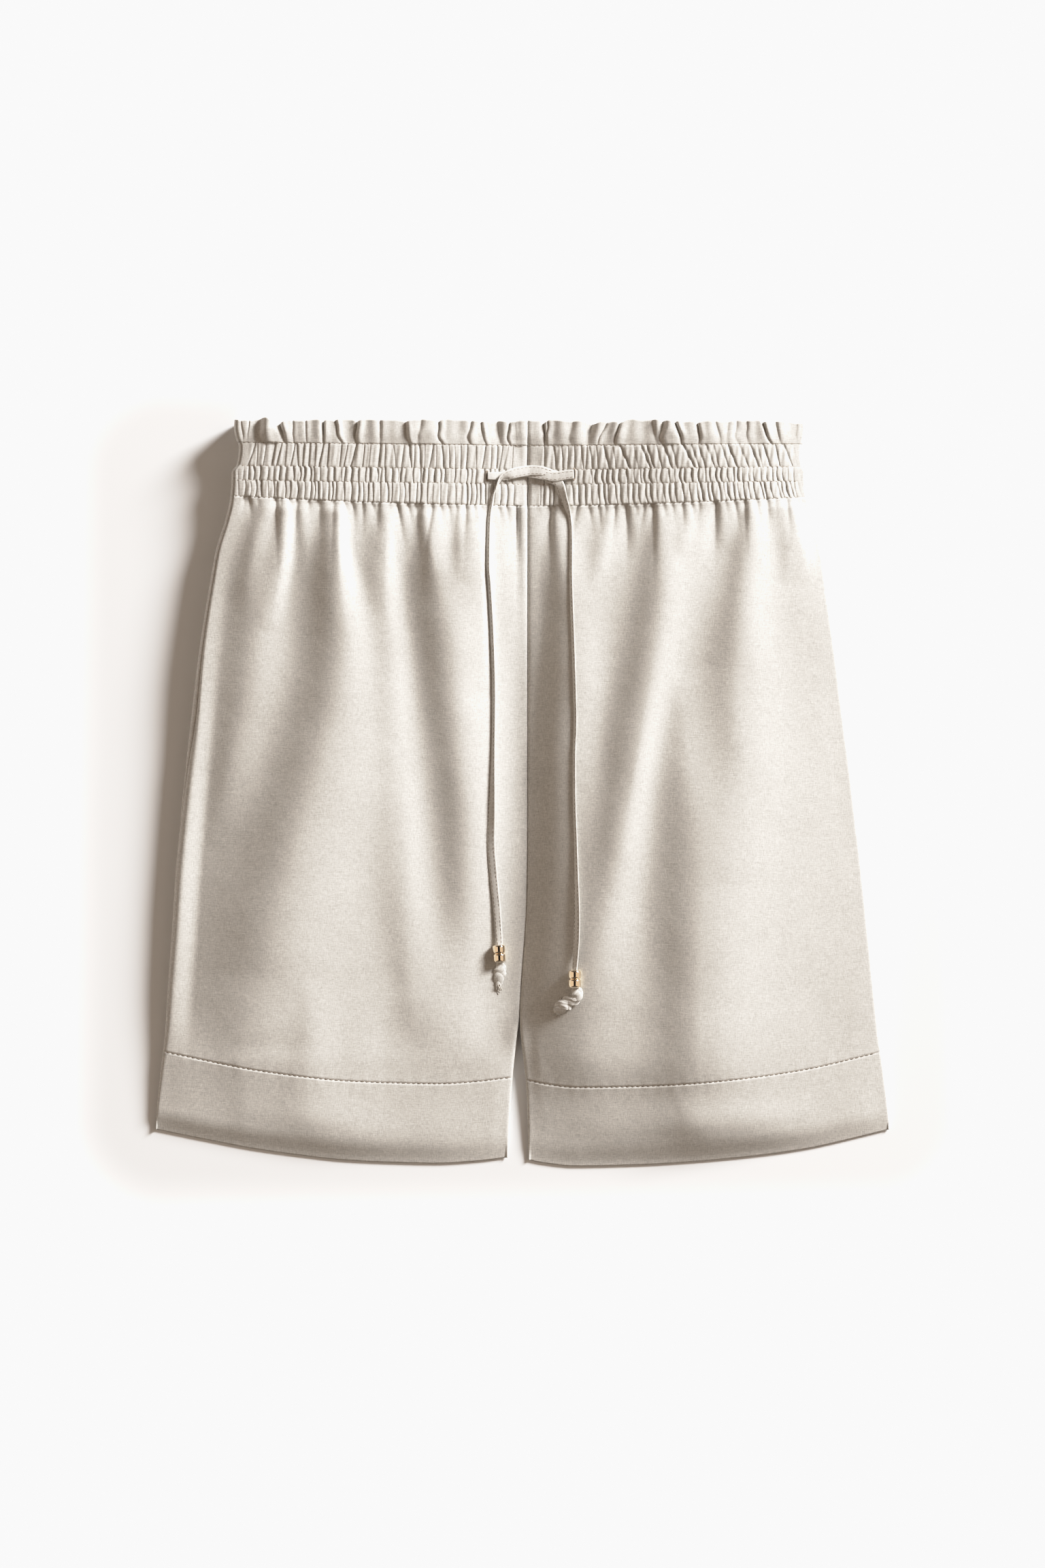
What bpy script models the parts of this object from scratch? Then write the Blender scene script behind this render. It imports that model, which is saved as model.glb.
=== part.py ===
"""Pull-on drawstring shorts of a linen blend, lying flat on their back.

Two fronts and two backs, a gathered elastic casing of three rows with a frill above
it, deep turned-up hems, and a flat tape drawstring with a metal bead on each end.
Metres, +Z up, +Y towards the waist. Sizes below are in millimetres and are turned
into metres where each mesh is made. Right and left are the wearer's: the right leg is
at -X.
"""

import math
from collections import namedtuple

import bpy

MM = 0.001

# ---------------------------------------------------------------- driving sizes, mm
CLOTH = 1.2            # wall of a single panel, with its interlining of folds and air
HEM_CLOTH = 2.0        # the turned-up hem is double cloth
SEAM_GAP = 0.4         # between sewn pieces
ELASTIC_ROWS = 3
FRILL_TOP = 208.4      # free edge of the frill
FRILL_STITCH = 194.6   # top stitch row, at the centre
ROW_LINES = (194.6, 181.4, 173.3, 161.4)     # four stitch rows, at the centre
ROW_RISE = (1.4, 2.0, 2.0, 5.2)              # how much higher each row is at the sides
WAIST_HALF = 162.0     # half of the relaxed waist, laid flat
CENTRE_SEAM_X = 2.7
CROTCH_Y = -112.0
HEM_DEPTH = 45.0
FRONT_PLEATS = 17      # pleats in each front half of the casing
BACK_PLEATS = 9
LIP = math.radians(5.0)  # a seam's edge runs straight on for this much of a roll
TAPE_WIDTH = 5.0
TAPE_THICK = 1.0
BEAD_RADIUS = 3.7
BEAD_HOLE = 1.5
BEAD_LENGTH = 9.8

# silhouette of the shorts as they lie, one row for each height
Side = namedtuple("Side", "y right_leg left_leg")
SIDES = (
    Side(210.0, -160.6, 158.6),
    Side(199.0, -160.0, 158.0),
    Side(193.0, -158.6, 156.4),
    Side(184.0, -160.2, 157.4),
    Side(180.0, -162.8, 159.0),
    Side(172.0, -163.2, 159.2),
    Side(162.0, -164.2, 160.6),
    Side(152.0, -166.6, 163.2),
    Side(136.6, -171.6, 167.4),
    Side(106.2, -177.0, 171.4),
    Side(45.4, -185.2, 179.4),
    Side(-15.4, -191.8, 187.0),
    Side(-76.2, -196.6, 193.8),
    Side(-137.0, -201.0, 200.2),
    Side(-188.0, -206.4, 206.0),
    Side(-215.0, -207.6, 207.2),
)

# inner edge of each leg below the crotch
Inner = namedtuple("Inner", "y right_leg left_leg")
INNERS = (
    Inner(CROTCH_Y, CENTRE_SEAM_X - 0.2, CENTRE_SEAM_X + 0.2),
    Inner(-122.0, -1.6, 1.2),
    Inner(-133.0, -3.6, 0.6),
    Inner(-152.0, -5.5, 1.2),
    Inner(-176.0, -7.8, 2.4),
    Inner(-208.0, -9.4, 3.8),
)

# free lower edge of each leg
HemEdge = namedtuple("HemEdge", "x y")
HEM_RIGHT_LEG = (
    HemEdge(-206.4, -187.6), HemEdge(-176.9, -193.6), HemEdge(-149.5, -198.8),
    HemEdge(-122.0, -202.6), HemEdge(-75.8, -206.2), HemEdge(-47.7, -206.8),
    HemEdge(-26.4, -205.6), HemEdge(-9.4, -203.6),
)
HEM_LEFT_LEG = (
    HemEdge(3.6, -205.0), HemEdge(11.6, -206.6), HemEdge(29.8, -208.4),
    HemEdge(66.3, -207.6), HemEdge(93.7, -206.0), HemEdge(130.2, -202.6),
    HemEdge(157.5, -198.8), HemEdge(194.0, -190.6), HemEdge(206.0, -187.6),
)

# height of the middle of the front's wall above the surface, from side to centre
Loft = namedtuple("Loft", "y side middle centre")
LOFTS = (
    Loft(215.0, 11.0, 14.6, 12.0),
    Loft(195.0, 10.8, 13.2, 10.6),
    Loft(165.0, 9.8, 10.0, 7.4),
    Loft(150.0, 11.6, 11.2, 6.6),
    Loft(110.0, 13.8, 14.0, 6.4),
    Loft(50.0, 14.4, 14.0, 6.4),
    Loft(0.0, 14.2, 12.9, 5.8),
    Loft(-50.0, 14.2, 12.8, 6.0),
    Loft(-100.0, 13.2, 12.8, 8.8),
    Loft(-145.0, 9.4, 9.8, 7.4),
    Loft(-190.0, 5.8, 5.2, 5.4),
    Loft(-215.0, 5.2, 4.6, 5.0),
)

# angle from the top of the side roll at which the side seam lies: small where the back
# comes forward round the side, near 90 where the seam is on the silhouette
SeamTurn = namedtuple("SeamTurn", "y right_leg left_leg")
SEAM_TURNS = (
    SeamTurn(210.0, 30.0, 84.0),
    SeamTurn(165.0, 26.0, 84.0),
    SeamTurn(110.0, 22.0, 80.0),
    SeamTurn(30.0, 30.0, 74.0),
    SeamTurn(5.0, 62.0, 76.0),
    SeamTurn(-60.0, 82.0, 82.0),
    SeamTurn(-215.0, 86.0, 86.0),
)

# the largest folds of the front: centre line through three points, half width, height,
# and the length over which the fold rises from nothing at its top
Fold = namedtuple("Fold", "x_top y_top x_mid y_mid x_end y_end width height rise")
FOLDS = (
    Fold(-146, 166, -150, 95, -171, -24, 12, 1.6, 30),
    Fold(-106, 170, -108, 66, -136, -90, 24, 7.8, 50),
    Fold(-76, 170, -72, 60, -66, -30, 10, 1.4, 40),
    Fold(-54, 170, -46, 80, -32, -70, 17, 2.4, 50),
    Fold(-26, 170, -24, 110, -22, 50, 8, 3.6, 40),
    Fold(22, 166, 27, 60, 32, -110, 15, 3.6, 40),
    Fold(78, 168, 70, 60, 46, -110, 15, 2.8, 50),
    Fold(128, 166, 122, 60, 124, -50, 19, 4.6, 50),
    Fold(92, 60, 100, -40, 100, -180, 28, 6.4, 60),
    Fold(-72, 20, -66, -60, -62, -130, 12, -2.6, 50),
    Fold(-118, -120, -118, -160, -104, -205, 16, 1.2, 40),
    Fold(-70, -110, -78, -160, -80, -205, 16, -1.6, 50),
)

# the drawstring's way over the front, top to bottom: plan position, and how far the
# tape's face is lifted off the cloth under it
Lay = namedtuple("Lay", "x y lift")
RIGHT_STRAND = (
    Lay(13.6, 181.8, 0.5), Lay(4.0, 183.2, 1.0), Lay(-4.6, 182.4, 1.8),
    Lay(-11.6, 179.0, 2.0), Lay(-15.2, 172.4, 1.8), Lay(-17.6, 165.0, 0.6),
    Lay(-18.9, 150.0, 0.4), Lay(-18.7, 132.0, 0.4), Lay(-16.6, 94.0, 0.4),
    Lay(-15.4, 59.0, 0.4), Lay(-15.9, 20.0, 0.4), Lay(-15.7, -28.0, 0.4),
    Lay(-15.0, -62.0, 0.5), Lay(-13.6, -80.6, 2.4),
)
LEFT_STRAND = (
    Lay(20.4, 172.4, 0.4), Lay(23.0, 168.0, 0.4), Lay(25.0, 158.4, 0.4),
    Lay(27.6, 144.2, 0.4), Lay(28.2, 111.0, 0.4), Lay(29.4, 76.0, 0.4),
    Lay(30.2, 41.6, 0.4), Lay(29.4, 0.0, 0.4), Lay(29.0, -40.0, 0.4),
    Lay(29.2, -76.0, 0.5), Lay(29.2, -94.6, 2.4),
)
RIGHT_EXIT = (Lay(-19.0, 177.6, 0.3), Lay(-16.4, 177.9, 0.3), Lay(-12.6, 178.2, 0.3))
LEFT_EXIT = (Lay(27.6, 178.2, 0.4), Lay(20.0, 177.2, 0.4), Lay(12.0, 175.4, 0.4))
BUTTONHOLES = ((-18.9, 178.2), (28.1, 178.4))
TASSEL_RIGHT = (Lay(-13.2, -93.2, 0.0), Lay(-13.8, -98.0, 0.0), Lay(-14.6, -103.6, 0.0), Lay(-14.0, -109.0, 0.0))
TASSEL_LEFT = (Lay(29.6, -107.4, 0.0), Lay(28.2, -112.6, 0.0), Lay(22.8, -117.4, 0.0), Lay(17.6, -121.0, 0.0))

# cloth and metal, as Principled values
Finish = namedtuple("Finish", "color roughness metallic")
LINEN = Finish((0.66, 0.61, 0.55), 0.85, 0.0)
CORD = Finish((0.74, 0.70, 0.64), 0.85, 0.0)
GOLD = Finish((0.83, 0.62, 0.36), 0.18, 1.0)


# ---------------------------------------------------------------- small mathematics
def smooth(t):
    t = min(1.0, max(0.0, t))
    return t * t * (3.0 - 2.0 * t)


def read(table, at, column, key="y"):
    """The table's column at this height, eased between its rows."""
    rows = sorted(table, key=lambda row: getattr(row, key))
    if at <= getattr(rows[0], key):
        return getattr(rows[0], column)
    for low, high in zip(rows, rows[1:]):
        a, b = getattr(low, key), getattr(high, key)
        if at <= b:
            t = (at - a) / (b - a)
            return getattr(low, column) * (1 - t) + getattr(high, column) * t
    return getattr(rows[-1], column)


def blend(a, b, t):
    return a * (1 - t) + b * t


# ---------------------------------------------------------------- the lines of the cut
def row_line(row, x):
    """Height of a stitch row of the casing: 0 under the frill, 3 at its lower edge."""
    return ROW_LINES[row] + ROW_RISE[row] * (x / WAIST_HALF) ** 2


def hem_edge(leg, x):
    return read(HEM_RIGHT_LEG if leg == "right_leg" else HEM_LEFT_LEG, x, "y", "x")


def hem_stitch(leg, x):
    return hem_edge(leg, x) + HEM_DEPTH


def side_x(leg, y):
    return read(SIDES, y, leg)


def inner_x(leg, y):
    if y >= CROTCH_Y:
        return CENTRE_SEAM_X + (-SEAM_GAP / 2 if leg == "right_leg" else SEAM_GAP / 2)
    return read(INNERS, y, leg)


def open_leg(y):
    """0 above the crotch, where the panels are sewn together, and 1 down the leg."""
    return smooth((CROTCH_Y + 4.0 - y) / 16.0)


def fold_height(x, y):
    total = 0.0
    for fold in FOLDS:
        points = ((fold.x_top, fold.y_top), (fold.x_mid, fold.y_mid), (fold.x_end, fold.y_end))
        if not fold.y_end - 25.0 < y < fold.y_top + 6.0:
            continue
        if y >= fold.y_mid:
            (xa, ya), (xb, yb) = points[0], points[1]
        else:
            (xa, ya), (xb, yb) = points[1], points[2]
        centre = xa + (xb - xa) * (y - ya) / (yb - ya)
        fade = smooth((y - fold.y_end + 25.0) / 45.0) * smooth((fold.y_top + 6.0 - y) / fold.rise)
        spread = fold.width * (1.0 + 0.5 * smooth((fold.y_top - y) / 140.0))
        total += fold.height * fade * math.exp(-(((x - centre) / spread) ** 2))
    return total


def across(leg, x, y):
    """0 at the side, 1 at the centre seam or the inner leg."""
    a, b = side_x(leg, y), inner_x(leg, y)
    return min(1.0, max(0.0, (x - a) / (b - a)))


def front_height(x, y):
    """Middle of the front panel's wall above the surface it lies on."""
    leg = "right_leg" if x < CENTRE_SEAM_X else "left_leg"
    u = across(leg, x, y)
    side, middle, centre = (read(LOFTS, y, c) for c in ("side", "middle", "centre"))
    base = blend(side, middle, smooth((u - 0.04) / 0.22))
    base = blend(base, centre, smooth((u - 0.75) / 0.25))
    calm = smooth((u - 0.01) / 0.09) * (1.0 - open_leg(y) * smooth((u - 0.94) / 0.05))
    hem_calm = 1.0 - 0.55 * smooth((-130.0 - y) / 50.0)
    return max(base + fold_height(x, y) * calm * hem_calm, 3.4)


# ---------------------------------------------------------------- pieces of cloth
def bounded_row(leg, low, high, t):
    """Side and inner ends of the row a fraction t of the way from high to low."""
    ends = []
    for edge in (side_x, inner_x):
        y = high(0.0) * (1 - t) + low(0.0) * t
        for _ in range(6):
            x = edge(leg, y)
            y = high(x) * (1 - t) + low(x) * t
        ends.append((x, y))
    return ends


def section(leg, y_side, y_inner, front, wall, floor_mid, columns, height):
    """One row across a half: the side roll, the run of the panel and the leg's inner roll.

    Gives (x, z) pairs from the side to the centre. The front's part of the rolls ends
    at the seams, the back's part goes on from there, down and under.
    """
    outward = -1.0 if leg == "right_leg" else 1.0
    half = wall / 2
    side_top = read(LOFTS, y_side, "side")
    radius = (side_top - floor_mid) / 2
    edge = side_x(leg, y_side) - outward * half
    turn = math.radians(read(SEAM_TURNS, y_side, leg))
    slack = (SEAM_GAP / 2 + 0.06) / radius
    points = []
    if front:
        end = turn - slack
        angles = [end, end - LIP, (end - LIP) / 2, 0.0]
    else:
        start = turn + slack
        angles = [start, start + LIP] + [start + LIP + (math.pi - start - LIP) * k / 4 for k in (1, 2, 3, 4)]
    for angle in angles:
        x = edge - outward * radius * (1 - math.sin(angle))
        points.append((x, floor_mid + radius * (1 + math.cos(angle))))
    start_x = points[-1][0]

    inner_top = read(LOFTS, y_inner, "centre")
    inner_radius = (inner_top - floor_mid) / 2
    opened = open_leg(y_inner)
    full = math.radians(86.5)
    length = inner_radius * full
    inner_end = inner_x(leg, y_inner) + outward * half * opened
    sweep = full * opened
    arc = []
    for part in (0.0, 0.45, 1.0 - LIP / full, 1.0):
        s = length * part
        if sweep > 1e-3:
            bend = length / sweep
            arc.append((bend * math.sin(sweep * part), bend * (1 - math.cos(sweep * part))))
        else:
            arc.append((s, 0.0))
    reach = arc[-1][0]
    for k in range(1, columns):
        x = blend(start_x, inner_end + outward * reach, k / columns)
        points.append((x, height(x, k)))
    for dx, dz in arc:
        x = inner_end + outward * (reach - dx)
        points.append((x, inner_top - dz if front else floor_mid + dz))
    return points


def sheet(name, rows, wall, finish):
    """An open sheet through these rows of points, mm, made into a wall by Solidify."""
    count = len(rows[0])
    vertices = [(x * MM, y * MM, z * MM) for row in rows for x, y, z in row]
    faces = [
        (r * count + c, r * count + c + 1, (r + 1) * count + c + 1, (r + 1) * count + c)
        for r in range(len(rows) - 1)
        for c in range(count - 1)
        if (r, c) not in sheet.openings.get(name, ())
    ]
    mesh = bpy.data.meshes.new(name)
    mesh.from_pydata(vertices, [], faces)
    mesh.update()
    piece = bpy.data.objects.new(name, mesh)
    parts.objects.link(piece)
    solid = piece.modifiers.new("Wall", "SOLIDIFY")
    solid.thickness = wall * MM
    solid.offset = 0.0
    solid.use_even_offset = True
    solid.use_rim = True
    dress(piece, finish)
    return piece


sheet.openings = {}


def dress(piece, finish):
    material = bpy.data.materials.new(piece.name)
    material.use_nodes = True
    shader = material.node_tree.nodes["Principled BSDF"]
    shader.inputs["Base Color"].default_value = (*finish.color, 1.0)
    shader.inputs["Roughness"].default_value = finish.roughness
    shader.inputs["Metallic"].default_value = finish.metallic
    piece.data.materials.append(material)


def panel_rows(leg, front, low, high, steps, wall, floor_mid, columns, height):
    rows = []
    for t in steps:
        (xs, ys), (xi, yi) = bounded_row(leg, low, high, t)
        cross = section(
            leg, ys, yi, front, wall, floor_mid, columns,
            lambda x, k: height(x, high(x) * (1 - t) + low(x) * t, k),
        )
        row = []
        for x, z in cross:
            row.append((x, high(x) * (1 - t) + low(x) * t, z))
        rows.append(row)
    return rows


def zigzag(column, depth):
    """Pleats: every other column up or down by a pleat's depth, no two quite alike."""
    return (depth if column % 2 else -depth) * (1.0 + 0.22 * math.sin(column * 2.1))


def make_front_panel(leg, name):
    steps = (0.0, 0.025, 0.08, 0.16, 0.26, 0.37, 0.48, 0.59, 0.7, 0.8, 0.86, 0.92, 1.0)
    columns = 17

    def height(x, y, column):
        fade = math.exp(-max(0.0, row_line(3, x) - y) / 16.0)
        return front_height(x, y) + zigzag(column, 0.8) * fade

    rows = panel_rows(
        leg, True, lambda x: hem_stitch(leg, x) + SEAM_GAP / 2,
        lambda x: row_line(3, x) - SEAM_GAP / 2, steps, CLOTH, CLOTH / 2, columns, height,
    )
    return sheet(name, rows, CLOTH, LINEN)


def make_back_panel(leg, name):
    steps = (0.0, 0.04, 0.12, 0.34, 0.6, 0.82, 0.9, 1.0)
    columns = 10

    def height(x, y, column):
        fade = math.exp(-max(0.0, row_line(3, x) - y) / 12.0)
        return CLOTH / 2 + (fade * (1.2 + zigzag(column, 0.9)) if fade > 0.05 else 0.0)

    rows = panel_rows(
        leg, False, lambda x: hem_stitch(leg, x) + SEAM_GAP / 2,
        lambda x: row_line(3, x) - SEAM_GAP / 2, steps, CLOTH, CLOTH / 2, columns, height,
    )
    return sheet(name, rows, CLOTH, LINEN)


def make_hem(leg, name, front):
    steps = (0.0, 0.35, 0.7, 1.0)
    floor_mid = HEM_CLOTH / 2

    def height(x, y, column):
        return front_height(x, y) if front else floor_mid

    rows = panel_rows(
        leg, front, lambda x: hem_edge(leg, x), lambda x: hem_stitch(leg, x) - SEAM_GAP / 2,
        steps, HEM_CLOTH, floor_mid, 18 if front else 10, height,
    )
    return sheet(name, rows, HEM_CLOTH, LINEN)


def make_casing(leg, name, front):
    """Three rows of shirring: each row swells between its stitch lines."""
    pleats = FRONT_PLEATS if front else BACK_PLEATS
    columns = pleats * 2
    floor_mid = 1.7
    rows = []
    stations = []
    for row in range(ELASTIC_ROWS):
        stations += [(row, 0.0), (row, 0.5)]
    stations.append((ELASTIC_ROWS - 1, 1.0))
    for index, (row, part) in enumerate(stations):
        def line(x, row=row, part=part, index=index):
            y = blend(row_line(row, x), row_line(row + 1, x), part)
            if index == 0:
                y -= SEAM_GAP / 2
            if index == len(stations) - 1:
                y += SEAM_GAP / 2
            return y

        depth = (1.5 if part == 0.5 else 0.9) * (1.0 if front else 0.7)

        def height(x, y, column, depth=depth):
            return (front_height_flat(y) if front else floor_mid + 0.3) + zigzag(column, depth)

        rows += panel_rows(leg, front, line, line, (0.0,), CLOTH, floor_mid, columns, height)
    return sheet(name, rows, CLOTH, LINEN)


def front_height_flat(y):
    return read(LOFTS, y, "middle")


def make_frill(leg, name, front):
    """The free heading, in waves about twice as wide as the pleats under it."""
    columns = 32 if front else 16
    floor_mid = 1.7
    rows = []
    for index, lift in enumerate((0.0, 0.45, 1.0)):
        def line(x, lift=lift):
            top = FRILL_TOP + 0.4 * math.sin(x * 0.11)
            return blend(row_line(0, x) + SEAM_GAP / 2, top, lift)

        def height(x, y, column, lift=lift):
            wave = math.sin(math.pi / 2 * column + 1.1 * math.sin(column * 0.4))
            if front:
                return front_height_flat(y) + (0.4 + 1.2 * lift) * wave + 0.4 * lift
            return floor_mid + 0.4 + (0.3 + 0.5 * lift) * wave

        rows += panel_rows(leg, front, line, line, (0.0,), CLOTH, floor_mid, columns, height)
    return sheet(name, rows, CLOTH, LINEN)


# ---------------------------------------------------------------- drawstring
def top_face(x, y):
    """Upper face of the cloth under the drawstring."""
    if y > row_line(3, x) - 3.0:
        pleated = front_height_flat(y) + 1.8 + CLOTH * 0.85
        return max(pleated, front_height(x, y) + CLOTH / 2)
    return front_height(x, y) + CLOTH / 2


def resting(x, y, reach):
    """The height a tape lies at: on the highest cloth within reach along it."""
    return max(
        top_face(x + dx, y + dy)
        for dy in (-reach, -reach / 2, 0.0, reach / 2, reach)
        for dx in (-TAPE_WIDTH / 2, 0.0, TAPE_WIDTH / 2)
    )


def curve_through(points, spacing):
    """A smooth curve through these points, read off at even steps."""
    dense = []
    count = len(points)
    for i in range(count - 1):
        p0, p1, p2, p3 = (points[min(count - 1, max(0, i + d))] for d in (-1, 0, 1, 2))
        for k in range(24):
            t = k / 24
            dense.append(tuple(
                0.5 * (2 * b + (c - a) * t + (2 * a - 5 * b + 4 * c - d) * t * t + (3 * b - a - 3 * c + d) * t ** 3)
                for a, b, c, d in zip(p0, p1, p2, p3)
            ))
    dense.append(tuple(points[-1]))
    lengths = [0.0]
    for a, b in zip(dense, dense[1:]):
        lengths.append(lengths[-1] + math.dist(a, b))
    steps = max(2, round(lengths[-1] / spacing))
    out = []
    for k in range(steps + 1):
        want = lengths[-1] * k / steps
        i = next((j for j in range(1, len(lengths)) if lengths[j] >= want - 1e-9), len(lengths) - 1)
        span = lengths[i] - lengths[i - 1]
        t = (want - lengths[i - 1]) / span if span else 0.0
        out.append(tuple(blend(a, b, t) for a, b in zip(dense[i - 1], dense[i])))
    return out


def make_tape(name, lay, spacing):
    plan = curve_through([(p.x, p.y, p.lift) for p in lay], spacing)
    heights = [resting(x, y, 5.0) + lift + TAPE_THICK / 2 for x, y, lift in plan]
    for _ in range(3):
        eased = [
            max(h, (heights[max(0, i - 1)] + h + heights[min(len(heights) - 1, i + 1)]) / 3)
            for i, h in enumerate(heights)
        ]
        heights = eased
    data = bpy.data.curves.new(name, "CURVE")
    data.dimensions = "3D"
    data.twist_mode = "Z_UP"
    data.bevel_depth = TAPE_THICK / 2 * MM
    data.bevel_resolution = 2
    data.extrude = (TAPE_WIDTH - TAPE_THICK) / 2 * MM
    data.use_fill_caps = True
    line = data.splines.new("POLY")
    line.points.add(len(plan) - 1)
    for point, (x, y, _), z in zip(line.points, plan, heights):
        point.co = (x * MM, y * MM, z * MM, 1.0)
        point.tilt = math.pi / 2
    tape = bpy.data.objects.new(name, data)
    parts.objects.link(tape)
    dress(tape, CORD)
    return tape


def make_tassel(name, lay, radii):
    """The knotted end of the tape below its bead: a lumpy cord that ends in a fringe."""
    plan = curve_through([(p.x, p.y, p.lift) for p in lay], 1.6)
    data = bpy.data.curves.new(name, "CURVE")
    data.dimensions = "3D"
    data.bevel_depth = MM
    data.bevel_resolution = 2
    data.use_fill_caps = True
    line = data.splines.new("POLY")
    line.points.add(len(plan) - 1)
    for index, (point, (x, y, _)) in enumerate(zip(line.points, plan)):
        along = index / (len(plan) - 1) * (len(radii) - 1)
        low = min(int(along), len(radii) - 2)
        radius = blend(radii[low], radii[low + 1], along - low)
        height = max(top_face(x + dx, y + dy) for dx in (-3, 0, 3) for dy in (-3, 0, 3))
        point.co = (x * MM, y * MM, (height + 0.4 + radius) * MM, 1.0)
        point.radius = radius
    tassel = bpy.data.objects.new(name, data)
    parts.objects.link(tassel)
    dress(tassel, CORD)
    return tassel


def make_bead(name, x, y, lean):
    """Two rounded rings in one turned bead, with a hole from end to end."""
    ring = BEAD_LENGTH / 4
    profile = [(BEAD_HOLE, BEAD_LENGTH / 2), (2.7, BEAD_LENGTH / 2)]
    for centre in (ring, -ring):
        for k in range(5):
            angle = math.radians(60 - 30 * k)
            profile.append((2.9 + 0.8 * math.cos(angle) ** 0.6, centre + ring * 0.96 * math.sin(angle)))
    profile += [(2.7, -BEAD_LENGTH / 2), (BEAD_HOLE, -BEAD_LENGTH / 2), (BEAD_HOLE, BEAD_LENGTH / 2)]
    mesh = bpy.data.meshes.new(name)
    mesh.from_pydata([(r * MM, 0, z * MM) for r, z in profile], [(i, i + 1) for i in range(len(profile) - 1)], [])
    bead = bpy.data.objects.new(name, mesh)
    parts.objects.link(bead)
    screw = bead.modifiers.new("Turn", "SCREW")
    screw.steps = screw.render_steps = 20
    screw.use_merge_vertices = True
    screw.merge_threshold = 0.00001
    screw.use_smooth_shade = True
    rest = max(top_face(x + dx, y + dy) for dx in (-4, 0, 4) for dy in (-6, -3, 0, 3, 6))
    bead.location = (x * MM, y * MM, (rest + BEAD_RADIUS + 0.4) * MM)
    bead.rotation_euler = (math.radians(-90), 0, math.radians(lean))
    dress(bead, GOLD)
    return bead


# ---------------------------------------------------------------- assembly
for old in list(bpy.data.objects):
    bpy.data.objects.remove(old, do_unlink=True)

parts = bpy.data.collections.new("drawstring_shorts")
bpy.context.scene.collection.children.link(parts)


def buttonhole_cell(leg, x):
    """The pleat column of the middle row that this buttonhole takes."""
    columns = FRONT_PLEATS * 2
    u = across(leg, x, row_line(1, x) - 4.0)
    return round(u * columns) + 3


sheet.openings["casing_front_right"] = {(2, buttonhole_cell("right_leg", BUTTONHOLES[0][0])), (3, buttonhole_cell("right_leg", BUTTONHOLES[0][0]))}
sheet.openings["casing_front_left"] = {(2, buttonhole_cell("left_leg", BUTTONHOLES[1][0])), (3, buttonhole_cell("left_leg", BUTTONHOLES[1][0]))}

for leg, side in (("right_leg", "right"), ("left_leg", "left")):
    make_front_panel(leg, "front_panel_" + side)
    make_back_panel(leg, "back_panel_" + side)
    make_hem(leg, "hem_front_" + side, True)
    make_hem(leg, "hem_back_" + side, False)
    make_casing(leg, "casing_front_" + side, True)
    make_casing(leg, "casing_back_" + side, False)
    make_frill(leg, "frill_front_" + side, True)
    make_frill(leg, "frill_back_" + side, False)

make_tape("drawstring_right", RIGHT_STRAND, 9.0)
make_tape("drawstring_left", LEFT_STRAND, 9.0)
make_tape("drawstring_exit_right", RIGHT_EXIT, 2.0)
make_tape("drawstring_exit_left", LEFT_EXIT, 5.0)
make_bead("bead_right", -13.3, -87.0, 3.0)
make_bead("bead_left", 29.4, -101.0, 0.0)
make_tassel("tail_right", TASSEL_RIGHT, (1.6, 2.9, 3.2, 2.6, 1.4))
make_tassel("tail_left", TASSEL_LEFT, (1.8, 3.2, 2.6, 3.4, 2.6))
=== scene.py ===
"""Looks of the drawstring shorts, laid flat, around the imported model.

Sizes below are in millimetres in the model's own frame unless a name says otherwise.
Places read off the photograph are given in its own pixels, x from the left and y from
the top, and turned into millimetres by X() and Y().
"""

import math

import bpy
import numpy as np
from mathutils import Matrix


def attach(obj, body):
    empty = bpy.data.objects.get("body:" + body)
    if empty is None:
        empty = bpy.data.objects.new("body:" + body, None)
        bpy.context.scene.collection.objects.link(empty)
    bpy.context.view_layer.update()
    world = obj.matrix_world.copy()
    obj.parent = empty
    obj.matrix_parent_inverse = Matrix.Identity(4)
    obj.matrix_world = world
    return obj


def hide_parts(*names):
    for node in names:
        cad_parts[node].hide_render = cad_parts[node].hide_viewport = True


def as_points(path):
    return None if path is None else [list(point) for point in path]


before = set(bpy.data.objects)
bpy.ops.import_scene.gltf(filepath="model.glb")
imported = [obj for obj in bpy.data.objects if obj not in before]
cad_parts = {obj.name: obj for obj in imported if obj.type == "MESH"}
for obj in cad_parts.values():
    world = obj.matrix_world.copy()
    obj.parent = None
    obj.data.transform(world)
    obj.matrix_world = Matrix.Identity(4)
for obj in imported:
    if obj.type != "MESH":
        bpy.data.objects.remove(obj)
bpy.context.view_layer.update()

MM = 0.001
PX = 0.38  # millimetres to a photo pixel, at the height of the cloth


def X(px):
    return (np.asarray(px, float) - 768.5) * PX


def Y(py):
    return (1167.5 - np.asarray(py, float)) * PX


# ------------------------------------------------------------------ camera and light
LENS = 80.0
DISTANCE = 2304 * PX * MM * LENS / 36.0
camera_data = bpy.data.cameras.new("camera")
camera_data.lens = LENS
camera_data.sensor_width = 36.0
camera_data.clip_start = 0.05
camera = bpy.data.objects.new("camera", camera_data)
camera.location = (float(X(768)) * MM, float(Y(1152)) * MM, DISTANCE + 0.009)
bpy.context.scene.collection.objects.link(camera)
bpy.context.scene.camera = camera

KEY_TURN = 38.0      # degrees above +X in the picture
KEY_RISE = 21.0      # degrees above the surface
KEY_AWAY = 5.0
KEY_SIZE = 1.65
KEY_POWER = 560.0
FILL = 0.09          # the dim room
BOXES = 0.66         # two upright soft boxes, left and right, added to the room
FILL_COLOR = (1.0, 0.79, 0.615, 1.0)
WHITE = 0.948        # what the overexposed floor comes out as


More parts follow.
